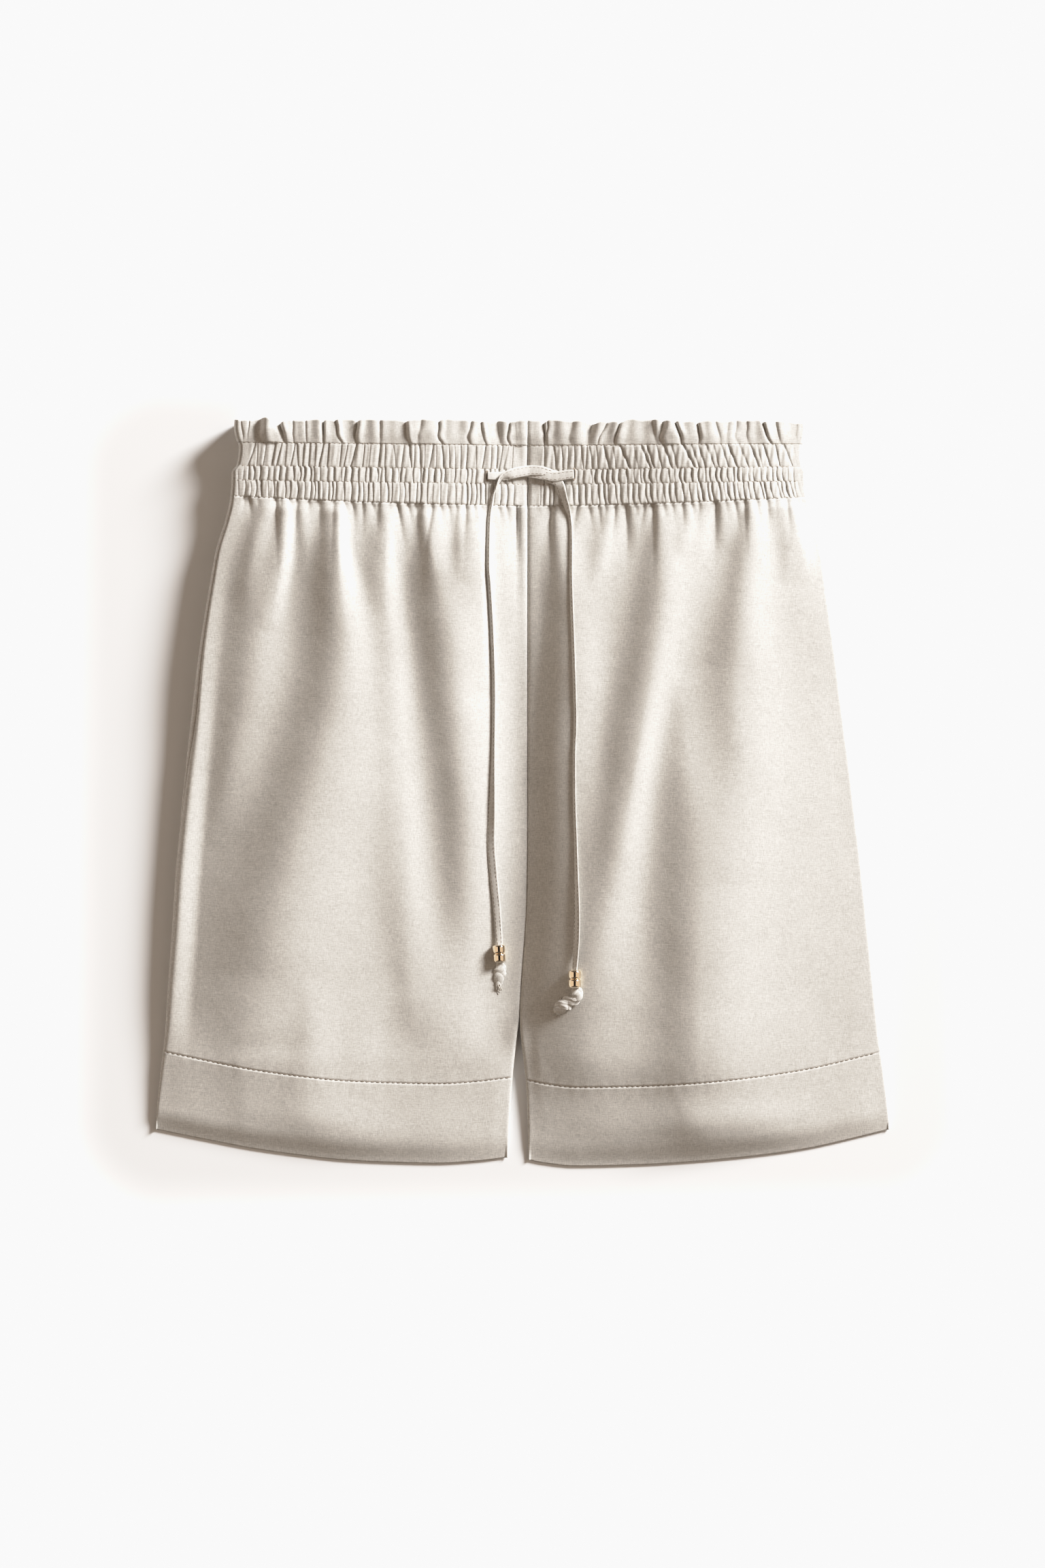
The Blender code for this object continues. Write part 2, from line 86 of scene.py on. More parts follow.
def add_area(name, turn, rise, away, size, power, color):
    light = bpy.data.lights.new(name, "AREA")
    light.shape = "DISK"
    light.size = size
    light.energy = power
    light.color = color
    holder = bpy.data.objects.new(name, light)
    a, e = math.radians(turn), math.radians(rise)
    holder.location = (away * math.cos(e) * math.cos(a), away * math.cos(e) * math.sin(a), away * math.sin(e))
    holder.rotation_euler = (math.pi / 2 - e, 0.0, a + math.pi / 2)
    bpy.context.scene.collection.objects.link(holder)
    return holder


add_area("key", KEY_TURN, KEY_RISE, KEY_AWAY, KEY_SIZE, KEY_POWER, (1.0, 0.995, 0.985))

world = bpy.data.worlds.new("studio")
world.use_nodes = True
room = world.node_tree
background = room.nodes["Background"]
background.inputs["Color"].default_value = FILL_COLOR
towards = room.nodes.new("ShaderNodeTexCoord")
split = room.nodes.new("ShaderNodeSeparateXYZ")
room.links.new(towards.outputs["Generated"], split.inputs[0])


def room_math(operation, a, b=0.0):
    made = room.nodes.new("ShaderNodeMath")
    made.operation = operation
    for socket, value in zip(made.inputs, (a, b)):
        if isinstance(value, bpy.types.NodeSocket):
            room.links.new(value, socket)
        else:
            socket.default_value = value
    return made.outputs[0]


def room_step(value, low, high, first, last):
    made = room.nodes.new("ShaderNodeMapRange")
    made.interpolation_type = "SMOOTHSTEP"
    for socket, number in zip(("From Min", "From Max", "To Min", "To Max"), (low, high, first, last)):
        made.inputs[socket].default_value = number
    room.links.new(value, made.inputs["Value"])
    return made.outputs["Result"]


level = room_math("SQRT", room_math("ADD", room_math("MULTIPLY", split.outputs["X"], split.outputs["X"]),
                                    room_math("MULTIPLY", split.outputs["Y"], split.outputs["Y"])))
sideways = room_math("DIVIDE", room_math("ABSOLUTE", split.outputs["X"]), room_math("MAXIMUM", level, 0.001))
boxes = room_math("MULTIPLY", room_step(sideways, 0.80, 0.90, 0.0, BOXES), room_step(split.outputs["Z"], 0.925, 0.955, 1.0, 0.0))
overhead = room_step(split.outputs["Z"], 0.925, 0.955, FILL, 0.01)
room.links.new(room_math("ADD", boxes, overhead), background.inputs["Strength"])
bpy.context.scene.world = world

bpy.context.scene.view_settings.view_transform = "Standard"
bpy.context.scene.view_settings.look = "None"
bpy.context.scene.view_settings.exposure = 0.0
bpy.context.scene.view_settings.gamma = 1.0
bpy.context.scene.view_settings.use_curve_mapping = True
curves = bpy.context.scene.view_settings.curve_mapping
curves.extend = "HORIZONTAL"
curves.curves[3].points[1].location = (1.0, WHITE)
for place, level in ((0.35, 0.365), (0.7, 0.735)):
    curves.curves[3].points.new(place, level)
curves.update()

# ------------------------------------------------------------------ sizes of the cut
THIN = 0.5             # wall of a single panel
CENTRE = 2.7
CROTCH = -126.0
HEM_DEPTH = 45.0
TOP_EDGE = 208.4
ROW_LINES = (194.6, 181.4, 173.3, 161.4)
ROW_RISE = (1.4, 2.0, 2.0, 5.2)

# silhouette: height, wearer's right (the photo's left), wearer's left
SIDES = np.array((
    (215.0, -160.8, 158.8),
    (205.0, -161.2, 158.6),
    (199.0, -160.4, 157.8),
    (194.0, -158.6, 156.4),
    (190.0, -158.8, 156.4),
    (184.0, -160.0, 157.2),
    (180.0, -162.8, 158.8),
    (172.0, -163.0, 158.8),
    (168.0, -163.4, 159.4),
    (162.0, -164.2, 160.6),
    (152.0, -166.8, 163.2),
    (136.6, -171.6, 167.4),
    (121.4, -174.4, 169.5),
    (106.2, -177.0, 171.4),
    (75.8, -181.6, 175.6),
    (45.4, -185.2, 179.4),
    (15.0, -188.6, 183.4),
    (-15.4, -191.8, 187.0),
    (-45.8, -194.6, 190.6),
    (-76.2, -196.6, 193.8),
    (-106.6, -198.9, 197.0),
    (-137.0, -201.0, 200.2),
    (-152.2, -203.0, 202.2),
    (-188.0, -206.4, 206.0),
    (-215.0, -207.6, 207.2),
))
# inner edges of the legs below the crotch: height, right leg, left leg
INNERS = np.array((
    (-30.0, CENTRE, CENTRE),
    (-60.0, 2.2, 2.25),
    (-81.0, 1.0, 1.1),
    (-105.0, -0.9, -0.7),
    (-122.0, -2.0, -1.6),
    (-131.0, -2.8, -1.6),
    (-138.0, -3.6, -1.0),
    (-152.0, -5.1, 0.7),
    (-162.0, -6.0, 1.7),
    (-176.0, -7.0, 2.4),
    (-208.0, -8.8, 3.3),
))
HEM_RIGHT_LEG = np.array((
    (-206.4, -187.6), (-176.9, -193.6), (-149.5, -198.8), (-122.0, -202.6),
    (-100.0, -205.0), (-75.8, -206.2), (-47.7, -206.8), (-26.4, -205.6), (-9.4, -203.6),
))
HEM_LEFT_LEG = np.array((
    (3.6, -205.0), (11.6, -206.6), (29.8, -208.4), (66.3, -207.6), (93.7, -206.0),
    (130.2, -202.6), (157.5, -198.8), (194.0, -190.6), (206.0, -187.6),
))
# middle of the front's wall above the surface: height on the leg, then from the side
# seam across to the centre
PANEL_ACROSS = (0.0, 0.1, 0.28, 0.5, 0.72, 0.88, 1.0)
RIGHT_LEG_FRONT = np.array((
    (215.0, 17.0, 17.6, 18.8, 19.0, 17.8, 15.2, 12.8),
    (190.0, 16.0, 16.4, 17.2, 17.3, 16.0, 13.2, 10.0),
    (166.0, 14.4, 15.0, 16.6, 17.0, 15.6, 12.4, 8.0),
    (115.0, 13.4, 14.6, 17.2, 17.9, 16.3, 13.1, 9.3),
    (50.0, 12.4, 14.4, 16.6, 17.0, 15.2, 12.4, 9.3),
    (-30.0, 10.0, 13.0, 15.3, 15.1, 13.3, 10.8, 8.0),
    (-100.0, 8.4, 11.4, 12.9, 11.8, 10.3, 8.4, 6.0),
    (-155.0, 4.8, 6.4, 7.3, 6.7, 6.0, 5.2, 3.8),
    (-210.0, 1.2, 1.3, 1.5, 1.6, 1.5, 1.3, 1.2),
))
LEFT_LEG_FRONT = np.array((
    (215.0, 7.0, 10.2, 14.2, 15.6, 14.4, 13.6, 12.8),
    (190.0, 6.8, 9.6, 13.0, 13.6, 11.8, 10.8, 10.0),
    (166.0, 7.0, 9.8, 12.4, 12.0, 9.6, 8.7, 8.0),
    (115.0, 12.2, 14.3, 15.7, 15.2, 12.6, 11.1, 9.3),
    (50.0, 12.4, 14.4, 15.9, 15.7, 13.6, 11.4, 9.3),
    (-30.0, 10.4, 12.5, 14.9, 15.1, 13.5, 10.7, 8.0),
    (-100.0, 6.6, 8.8, 12.0, 12.9, 11.8, 9.2, 6.0),
    (-155.0, 2.8, 4.3, 7.0, 8.5, 8.1, 6.8, 3.8),
    (-210.0, 1.2, 1.3, 1.5, 1.6, 1.5, 1.3, 1.2),
))
# where the side seam lies on the side roll, degrees from its top
SEAM_TURNS = np.array((
    (215.0, 16.0, 84.0),
    (165.0, 14.0, 84.0),
    (110.0, 18.0, 80.0),
    (50.0, 26.0, 74.0),
    (15.0, 52.0, 74.0),
    (-20.0, 70.0, 78.0),
    (-60.0, 80.0, 82.0),
    (-215.0, 84.0, 86.0),
))

# The folds of the front, in photo pixels: crest x, y, height in mm, reach to the left
# and to the right of the crest. A negative height is a trough.
FOLDS = {
    "right leg, outer gather": (
        (394, 742, 1.5, 15, 11), (379, 800, 3.0, 19, 26), (372, 870, 3.3, 27, 33), (376, 930, 3.6, 39, 38),
        (368, 1010, 3.5, 41, 42), (347, 1110, 2.5, 30, 38), (313, 1250, 0.0, 21, 34)),
    "right leg, small gather a": (
        (422, 742, 3.6, 18, 11), (419, 800, 4.3, 21, 11), (409, 860, 2.9, 24, 12), (394, 930, 0.0, 15, 17)),
    "right leg, small gather b": (
        (442, 742, 1.4, 11, 13), (447, 785, 0.9, 11, 11), (448, 830, 0.2, 11, 11), (445, 862, 0.0, 11, 13)),
    "right leg, long diagonal": (
        (498, 742, 3.3, 19, 11), (499, 800, 6.3, 33, 11), (501, 870, 7.0, 39, 24), (509, 950, 8.3, 53, 45),
        (501, 1040, 10.4, 66, 76), (484, 1110, 11.7, 75, 103), (456, 1200, 12.6, 80, 113), (428, 1300, 12.1, 84, 108),
        (404, 1400, 9.0, 83, 103), (382, 1540, 0.0, 64, 105)),
    "right leg, middle gather": (
        (569, 742, 1.0, 11, 11), (568, 800, 2.7, 24, 11), (565, 880, 4.0, 35, 20), (575, 960, 3.5, 27, 25),
        (581, 1050, 2.2, 27, 22), (585, 1150, 0.0, 26, 24)),
    "right leg, low crease": (
        (581, 1090, 0.0, 21, 25), (590, 1180, 2.3, 31, 26), (595, 1300, 2.9, 38, 29), (603, 1400, 2.1, 30, 42),
        (616, 1540, 0.0, 21, 64)),
    "right leg, inner gather": (
        (626, 742, 0.5, 11, 28), (636, 800, 5.2, 21, 48), (647, 850, 7.5, 35, 53), (658, 920, 8.4, 49, 44),
        (670, 1010, 8.7, 53, 48), (681, 1110, 7.5, 46, 50), (689, 1210, 6.2, 43, 42), (689, 1310, 4.1, 37, 40),
        (682, 1410, 1.5, 40, 31), (679, 1560, 0.0, 49, 27)),
    "right leg, gather by the tape": (
        (675, 742, 1.1, 11, 11), (679, 790, 2.7, 13, 25), (680, 860, 0.0, 14, 30)),
    "right leg, gather under the tape": (
        (703, 742, 2.9, 15, 11), (707, 800, 5.9, 28, 11), (709, 900, 4.8, 40, 11), (711, 1020, 0.0, 27, 11)),
    "pleat right of the centre": (
        (758, 740, -1.1, 11, 11), (754, 800, -1.0, 11, 11), (752, 836, 0.0, 11, 11)),
    "centre valley": (
        (777, 742, 0.5, 13, 11), (787, 800, -0.0, 241, 14), (792, 900, -2.7, 474, 24), (778, 1100, -5.6, 695, 29),
        (769, 1300, -7.1, 864, 39), (764, 1430, -5.4, 964, 33), (765, 1560, 0.0, 1028, 20)),
    "left leg, inner crest": (
        (821, 742, 0.4, 16, 24), (825, 800, 2.3, 17, 32), (840, 900, 3.0, 27, 41), (844, 1000, 4.5, 45, 37),
        (840, 1100, 4.2, 52, 36), (840, 1200, 3.5, 59, 45), (844, 1300, 4.3, 68, 54), (848, 1400, 4.7, 76, 70),
        (863, 1500, 4.4, 80, 104), (894, 1600, 8.1, 90, 163), (939, 1720, 7.5, 83, 241)),
    "left leg, second gather": (
        (968, 742, 0.4, 11, 35), (970, 800, 3.9, 20, 45), (973, 850, 5.1, 33, 38), (968, 910, 5.4, 38, 35),
        (953, 1000, 6.5, 43, 31), (935, 1100, 7.3, 48, 27), (913, 1220, 7.0, 40, 32), (899, 1320, 5.4, 39, 38),
        (883, 1420, 3.0, 46, 59), (869, 1540, 0.0, 56, 91)),
    "left leg, lower broad fold": (
        (999, 980, 0.0, 16, 58), (1011, 1100, 4.3, 44, 86), (1027, 1210, 7.4, 65, 101), (1033, 1310, 8.9, 73, 102),
        (1027, 1410, 9.3, 67, 101), (1028, 1510, 9.2, 65, 98), (1024, 1590, 11.1, 68, 108), (1066, 1720, 12.7, 69, 170)),
    "left leg, outer gather": (
        (1104, 742, 2.1, 11, 22), (1101, 800, 4.0, 22, 31), (1092, 900, 4.5, 34, 34), (1085, 1000, 5.0, 44, 58),
        (1091, 1080, 5.2, 45, 69), (1096, 1170, 3.2, 55, 69), (1089, 1300, 0.0, 64, 74)),
    "left leg, edge gather": (
        (1184, 742, 4.3, 22, 48), (1167, 800, 2.6, 20, 58), (1155, 860, 0.0, 11, 48)),
    "left leg, small gather a": (
        (895, 742, 0.6, 13, 14), (886, 800, 1.9, 18, 15), (871, 870, 0.0, 12, 16)),
    "left leg, small gather b": (
        (926, 742, 0.0, 11, 14), (921, 790, -0.6, 12, 11), (912, 830, 0.0, 11, 11)),
    "left leg, small gather c": (
        (1014, 742, 0.9, 12, 11), (1007, 780, 1.1, 11, 12), (1001, 820, 0.0, 11, 12)),
    "left leg, small gather d": (
        (1048, 742, -0.4, 11, 11), (1047, 780, -0.8, 11, 11), (1042, 830, 0.0, 11, 13)),
    "left leg, small gather e": (
        (1151, 742, 2.4, 25, 21), (1152, 775, 1.3, 19, 11), (1150, 810, 0.0, 11, 11)),
    "right hem, outer": (
        (359, 1430, 0.0, 62, 57), (367, 1520, 2.2, 55, 73), (366, 1610, 3.6, 37, 83), (361, 1720, 4.2, 18, 93)),
    "right hem, middle": (
        (455, 1440, 0.0, 11, 30), (459, 1520, 1.6, 27, 33), (452, 1590, 3.6, 35, 44), (463, 1650, 7.0, 56, 79),
        (485, 1720, 11.3, 76, 127)),
    "right hem, inner": (
        (574, 1470, 0.0, 25, 46), (571, 1560, -2.5, 46, 77), (575, 1640, 1.6, 66, 109), (585, 1720, 9.8, 90, 149)),
    "left hem, slanting crease": (
        (992, 1590, 0.0, 11, 26), (1004, 1630, 0.7, 11, 27), (1016, 1680, 0.0, 11, 24), (1029, 1720, -0.3, 11, 23)),
}


# ------------------------------------------------------------------ mathematics
def smooth(t):
    t = np.clip(t, 0.0, 1.0)
    return t * t * (3.0 - 2.0 * t)


def spline(at, xs, ys):
    """A smooth curve through the table, flat beyond its ends."""
    at = np.asarray(at, float)
    xs, ys = np.asarray(xs, float), np.asarray(ys, float)
    if xs[0] > xs[-1]:
        xs, ys = xs[::-1], ys[::-1]
    slopes = np.diff(ys) / np.diff(xs)
    tangent = np.zeros(len(xs))
    for i in range(1, len(xs) - 1):
        a, b = slopes[i - 1], slopes[i]
        if a * b > 0:
            w1 = 2 * (xs[i + 1] - xs[i]) + (xs[i] - xs[i - 1])
            w2 = (xs[i + 1] - xs[i]) + 2 * (xs[i] - xs[i - 1])
            tangent[i] = (w1 + w2) / (w1 / a + w2 / b)
    tangent[0], tangent[-1] = slopes[0], slopes[-1]
    at = np.clip(at, xs[0], xs[-1])
    i = np.clip(np.searchsorted(xs, at, side="right") - 1, 0, len(xs) - 2)
    h = xs[i + 1] - xs[i]
    t = (at - xs[i]) / h
    return (
        ys[i] * (2 * t**3 - 3 * t**2 + 1) + tangent[i] * h * (t**3 - 2 * t**2 + t)
        + ys[i + 1] * (3 * t**2 - 2 * t**3) + tangent[i + 1] * h * (t**3 - t**2)
    )


def row_line(row, x):
    return ROW_LINES[row] + ROW_RISE[row] * (np.asarray(x, float) / 162.0) ** 2


def side_x(leg, y):
    return spline(y, SIDES[:, 0], SIDES[:, leg])


def inner_x(leg, y):
    return spline(y, INNERS[:, 0], INNERS[:, leg])


def hem_edge(leg, x):
    table = HEM_RIGHT_LEG if leg == 1 else HEM_LEFT_LEG
    return spline(x, table[:, 0], table[:, 1])


def hem_stitch(leg, x):
    return hem_edge(leg, x) + HEM_DEPTH


def open_leg(y):
    return smooth((CROTCH + 4.0 - np.asarray(y, float)) / 16.0)


def natural_weights(at, knots):
    """Weights of the knots' values in a smooth curve through them, for each place."""
    knots = np.asarray(knots, float)
    count, h = len(knots), np.diff(knots)
    a, b = np.eye(count), np.zeros((count, count))
    for i in range(1, count - 1):
        a[i, i - 1 : i + 2] = h[i - 1], 2 * (h[i - 1] + h[i]), h[i]
        b[i, i - 1 : i + 2] = 6 / h[i - 1], -6 / h[i - 1] - 6 / h[i], 6 / h[i]
    bends = np.linalg.solve(a, b)
    at = np.clip(np.asarray(at, float), knots[0], knots[-1]).ravel()
    i = np.clip(np.searchsorted(knots, at, side="right") - 1, 0, count - 2)
    t, gap = at - knots[i], h[i]
    s = gap - t
    weights = ((s**3 / gap - s * gap) / 6)[:, None] * bends[i] + ((t**3 / gap - t * gap) / 6)[:, None] * bends[i + 1]
    rows = np.arange(at.size)
    weights[rows, i] += s / gap
    weights[rows, i + 1] += t / gap
    return weights


def panel_form(leg, u, y):
    """The panel's height at u across (0 side, 1 centre) and y."""
    table = RIGHT_LEG_FRONT if leg == 1 else LEFT_LEG_FRONT
    u, y = np.broadcast_arrays(np.asarray(u, float), np.asarray(y, float))
    down = natural_weights(-y, -table[:, 0])
    across = natural_weights(u, PANEL_ACROSS)
    return np.einsum("ni,ij,nj->n", down, table[:, 1:], across).reshape(u.shape)


def leg_of(x, y):
    """1 on the wearer's right leg, 2 on the left."""
    y = np.asarray(y, float)
    middle = (inner_x(1, y) + inner_x(2, y)) / 2
    return np.where(np.asarray(x, float) < middle, 1, 2)


# ------------------------------------------------------------------ waves of the cloth
def make_wander(seed, count, low, high, size):
    """A soft uneven surface, from a few long waves in many directions."""
    rng = np.random.default_rng(seed)
    waves = []
    for _ in range(count):
        length = rng.uniform(low, high)
        angle = rng.uniform(0, math.pi)
        waves.append((
            2 * math.pi / length * math.cos(angle), 2 * math.pi / length * math.sin(angle),
            rng.uniform(0, 2 * math.pi), rng.uniform(0.5, 1.0),
        ))
    total = math.sqrt(sum(w[3] ** 2 for w in waves) / 2)

    def wander(x, y):
        return size / total * sum(a * np.sin(kx * x + ky * y + p) for kx, ky, p, a in waves)

    return wander


long_wander = make_wander(3, 9, 40, 95, 0.10)
short_wander = make_wander(8, 14, 8, 22, 0.018)


def fold_sum(x, y):
    total = np.zeros(np.broadcast(x, y).shape)
    for stations in FOLDS.values():
        table = np.array(stations, float)
        ys = Y(table[:, 1])
        low, high = ys.min(), ys.max()
        near = (y > low - 1.0) | (table[-1, 2] != 0.0)
        near &= (y < high + 1.0) | (table[0, 2] != 0.0)
        if not np.any(near):
            continue
        crest = spline(y, ys, X(table[:, 0]))
        height = spline(y, ys, table[:, 2])
        left = spline(y, ys, table[:, 3]) * PX
        right = spline(y, ys, table[:, 4]) * PX
        away = x - crest
        reach = np.where(away < 0, left, right)
        total += np.where(near, height * np.exp(-((away / reach) ** 2)), 0.0)
    return total


# The frill's creases, in photo pixels: x at its free edge, x at the stitch row, depth and
# half-width in mm and px, then the lip that stands beside it on its right and its reach.
FRILL_CREASES = (
    (355.5, 357.5, 1.7, 1.3, 0.3, 8), (368, 367, 0.5, 1.1, 0.1, 5), (384, 384, 1.1, 6.0, 2.0, 16),
    (411, 418, 2.1, 3.2, 0.4, 8), (432, 436, 0.5, 1.3, 0.2, 6), (451, 452, 0.5, 1.1, 0.2, 6),
    (477, 476.5, 2.0, 1.9, 0.3, 8), (494, 504, 0.7, 1.3, 1.0, 6), (527, 525, 1.4, 1.7, 1.3, 9),
    (560, 561, 0.9, 3.0, 0.5, 12), (597, 601, 0.6, 1.3, 1.1, 8), (620, 617, 0.6, 4.0, 0.3, 10),
    (646, 649, 1.0, 1.4, 1.0, 8), (694, 690, 1.0, 2.6, 0.7, 10), (707.5, 712, 0.5, 1.2, 0.8, 6),
    (732, 734, 0.6, 4.0, 0.4, 10), (750, 747, 1.0, 1.4, 0.5, 6), (759, 762, 0.7, 1.2, 0.4, 5),
    (800, 801, 1.8, 1.6, 0.5, 5), (805, 807, 0.8, 1.3, 0.6, 8), (842, 837, 0.7, 6.0, 0.4, 14),
    (872, 864, 0.9, 5.0, 1.2, 14), (894, 878, 0.6, 1.3, 0.3, 6), (913, 901, 1.5, 1.6, 1.0, 12),
    (959, 963, 0.8, 4.0, 0.5, 10), (975, 971, 1.3, 4.0, 0.8, 10), (991, 1003, 1.8, 1.7, 0.7, 8),
    (1024, 1030, 1.5, 1.4, 0.8, 8), (1050, 1059, 0.5, 3.0, 0.3, 10), (1070, 1067, 0.8, 6.0, 0.5, 12),
    (1082, 1083, 0.4, 3.0, 0.3, 8), (1097, 1101, 0.5, 3.0, 0.4, 10), (1120, 1131, 1.5, 1.4, 0.7, 8),
    (1140, 1146, 0.5, 2.0, 0.3, 8), (1171, 1174, 0.7, 3.0, 0.4, 8),
)
# Where the frill's free edge dips beside its creases: photo x, depth in mm, half-width px
FRILL_DIPS = (
    (356, 0.7, 5), (368, 0.3, 6), (393, -1.1, 7), (411, 1.9, 7), (477, 0.8, 3), (494, 0.5, 5), (527, 0.8, 5),
    (562, -0.3, 9), (597, 0.7, 5), (646, 0.9, 5), (694, 0.5, 7), (708, 0.4, 4), (750, 0.5, 5), (801, 1.2, 4),
    (842, 0.4, 8), (872, 1.4, 9), (894, 0.9, 4), (913, 0.9, 6), (930, -0.6, 9), (975, 0.5, 5), (991, 0.9, 5),
    (1005, 0.8, 7), (1026, 0.8, 5), (1070, 0.5, 8), (1122, 1.0, 5), (1171, 0.5, 6),
)
# The first row's creases: x at its upper and lower stitch row in photo pixels, strength.
FIRST_ROW = (
    (357, 355.5, 0.5), (377.5, 366, 0.9), (380.5, 378.5, 0.4), (393, 387.5, 0.4), (407, 401, 0.9),
    (416, 407.5, 0.6), (423, 420, 0.3), (435, 428.5, 0.8), (438, 439.5, 0.6), (449, 446, 0.7),
    (457.5, 455, 0.8), (466, 463.5, 0.4), (477, 470, 0.9), (485, 482, 0.9), (503.5, 500, 0.8),
    (512.5, 506, 0.5), (526, 516, 0.9), (537, 533.5, 0.5), (546, 542.5, 0.3), (561, 557.5, 0.8),
    (567, 566, 0.25), (579, 582.5, 0.25), (595, 590, 0.35), (603, 605, 0.8), (610, 609, 0.3),
    (617, 619.5, 0.8), (625, 623.5, 0.3), (637.5, 631, 0.6), (642, 641, 0.3), (650, 652.5, 0.9),
    (660, 661, 0.3), (668.5, 669, 0.3), (677.5, 677, 0.5), (687.5, 685, 0.8), (700, 700, 0.3),
    (714, 708.5, 0.8), (722.5, 721, 0.35), (731.5, 729.5, 0.8), (739, 733.5, 0.5), (747.5, 740, 0.4),
    (754, 752, 0.35), (761, 761.8, 0.6), (765.3, 765.6, 0.4), (785, 786, 0.12), (792, 792, 0.1),
    (800, 800.5, 0.5), (814, 817.5, 0.6), (825, 827.5, 0.4), (835, 834, 0.3), (844, 844.5, 0.4),
    (853.5, 857.5, 0.4), (862.5, 860.5, 0.4), (866, 871, 0.4), (876, 879, 0.3), (887, 896, 0.8),
    (900, 905, 0.25), (911, 926, 0.9), (930, 938, 0.2), (942, 956, 0.8), (950, 961.5, 0.6),
    (964, 972.5, 0.4), (975, 987.5, 0.8), (986, 995, 0.4), (1003.5, 1021, 0.9), (1015, 1027, 0.4),
    (1025, 1036.5, 0.5), (1037, 1050, 0.4), (1047.5, 1056, 0.3), (1059, 1070, 0.4), (1069, 1083, 0.9),
    (1085, 1100, 0.4), (1102, 1115, 0.8), (1112, 1120, 0.25), (1121, 1132, 0.7), (1139, 1146, 0.6),
    (1152, 1165, 0.6), (1165, 1172, 0.25), (1175, 1180, 0.4),
)
# Deep gathers below the last stitch row: x, its drift, strength, half-width px, length px
DEEP_GATHERS = (
    (361, -2, 0.5, 1.6, 12), (368, 1, 0.6, 1.6, 14), (381, 0, 0.3, 1.6, 10), (407.5, 1, 0.65, 2.2, 50),
    (415, -1, 0.4, 1.4, 12), (427, 3, 0.4, 1.6, 10), (439, -6, 0.5, 2.6, 44), (455, 0, 0.4, 1.6, 12),
    (471, 1, 0.6, 4.0, 40), (492, -2, 0.6, 3.6, 54), (508, 3, 0.4, 1.6, 14), (520, 2, 0.5, 2.0, 26),
    (535, -1, 0.5, 1.8, 26), (548, 5, 0.4, 1.6, 14), (558, -2, 0.5, 1.8, 24), (573, 0, 0.25, 1.6, 10),
    (585, 7, 0.6, 1.8, 34), (600, 5, 0.45, 1.6, 18), (613, 3, 0.7, 3.6, 44), (621, -4, 0.5, 1.6, 12),
    (637, -9, 0.6, 2.0, 44), (648, 3, 0.4, 1.6, 14), (660, 2, 0.4, 1.6, 16), (672, -2, 0.5, 1.8, 20),
    (686, -2, 0.7, 2.0, 32), (697, 3, 0.4, 1.6, 16), (708, 2, 0.4, 1.8, 22), (733, 4, 0.4, 1.6, 18),
    (745, 3, 0.4, 1.6, 20), (761, 1, 0.9, 1.4, 80), (790, 1, 0.15, 1.6, 10), (809, 0, 0.8, 2.2, 56),
    (817, -6, 0.6, 1.4, 14), (838, 3, 0.4, 1.6, 18), (850, -8, 0.6, 1.6, 24), (866, 3, 0.4, 1.6, 18),
    (880, 3, 0.4, 1.8, 24), (891, -2, 0.4, 1.6, 14), (905, -4, 0.5, 1.8, 30), (921, 1, 0.7, 2.4, 40),
    (934, 3, 0.3, 1.6, 12), (948, -5, 0.5, 1.6, 20), (961, -1, 0.9, 2.8, 50), (975, 3, 0.35, 1.6, 14),
    (988, 2, 0.35, 1.6, 16), (1003, 2, 0.5, 2.2, 26), (1016, 4, 0.4, 1.6, 16), (1028, -2, 0.4, 1.6, 14),
    (1053, -2, 0.8, 2.4, 40), (1066, 3, 0.3, 1.6, 14), (1080, 4, 0.5, 2.0, 24), (1095, 0, 0.7, 2.6, 40),
    (1112, 3, 0.4, 1.8, 20), (1128, 1, 0.5, 2.0, 26), (1140, 0, 0.3, 1.6, 14), (1157, 2, 0.5, 2.0, 30),
    (1172, 3, 0.35, 1.6, 16), (1180, 4, 0.4, 1.8, 20),
)
CREASE_DEEP = 1.5
CREASE_HALF = 0.34
ROW_BOW = 0.24


def make_creases(seed, low, high, slant, bow):
    """Creases at uneven spacing: upper x, lower x, strength, bow, all in mm."""
    rng = np.random.default_rng(seed)
    out, at = [], -163.0
    while at < 162.0:
        out.append((
            at, at + slant(at) + rng.uniform(-0.5, 0.5), rng.uniform(0.18, 1.05),
            bow * rng.uniform(-0.2, 1.0) * (1.0 if at < 40 else -1.0),
        ))
        at += rng.uniform(low, high)
    return out


ROWS = (
    [(float(X(a)), float(X(b)), d, 0.15) for a, b, d in FIRST_ROW],
    make_creases(12, 1.9, 4.3, lambda x: -0.35 if x < 0 else 0.35, 0.85),
    make_creases(13, 1.9, 4.4, lambda x: -0.3 if x < 20 else 0.4 + 0.012 * x, 0.7),
)


def skewed(away, half):
    """Distance from a crease in its half-widths: wide to its left, narrow to its right."""
    return np.abs(away) / (half * np.where(away < 0, 1.75, 0.72))


def crease_sum(x, part, creases, half=CREASE_HALF, even_walls=False):
    """Sharp troughs with rounded cloth between them."""
    total = np.zeros(np.broadcast(x, part).shape)
    for a, b, strength, bow in creases:
        away = x - (a + (b - a) * part + bow * 4 * part * (1 - part))
        if np.abs(away).min() > 6.0:
            continue
        far = np.abs(away) / half if even_walls else skewed(away, half)
        total -= strength * (0.76 * np.exp(-(far**1.2)) + 0.24 * np.exp(-((far / 2.8) ** 2)))
    return total


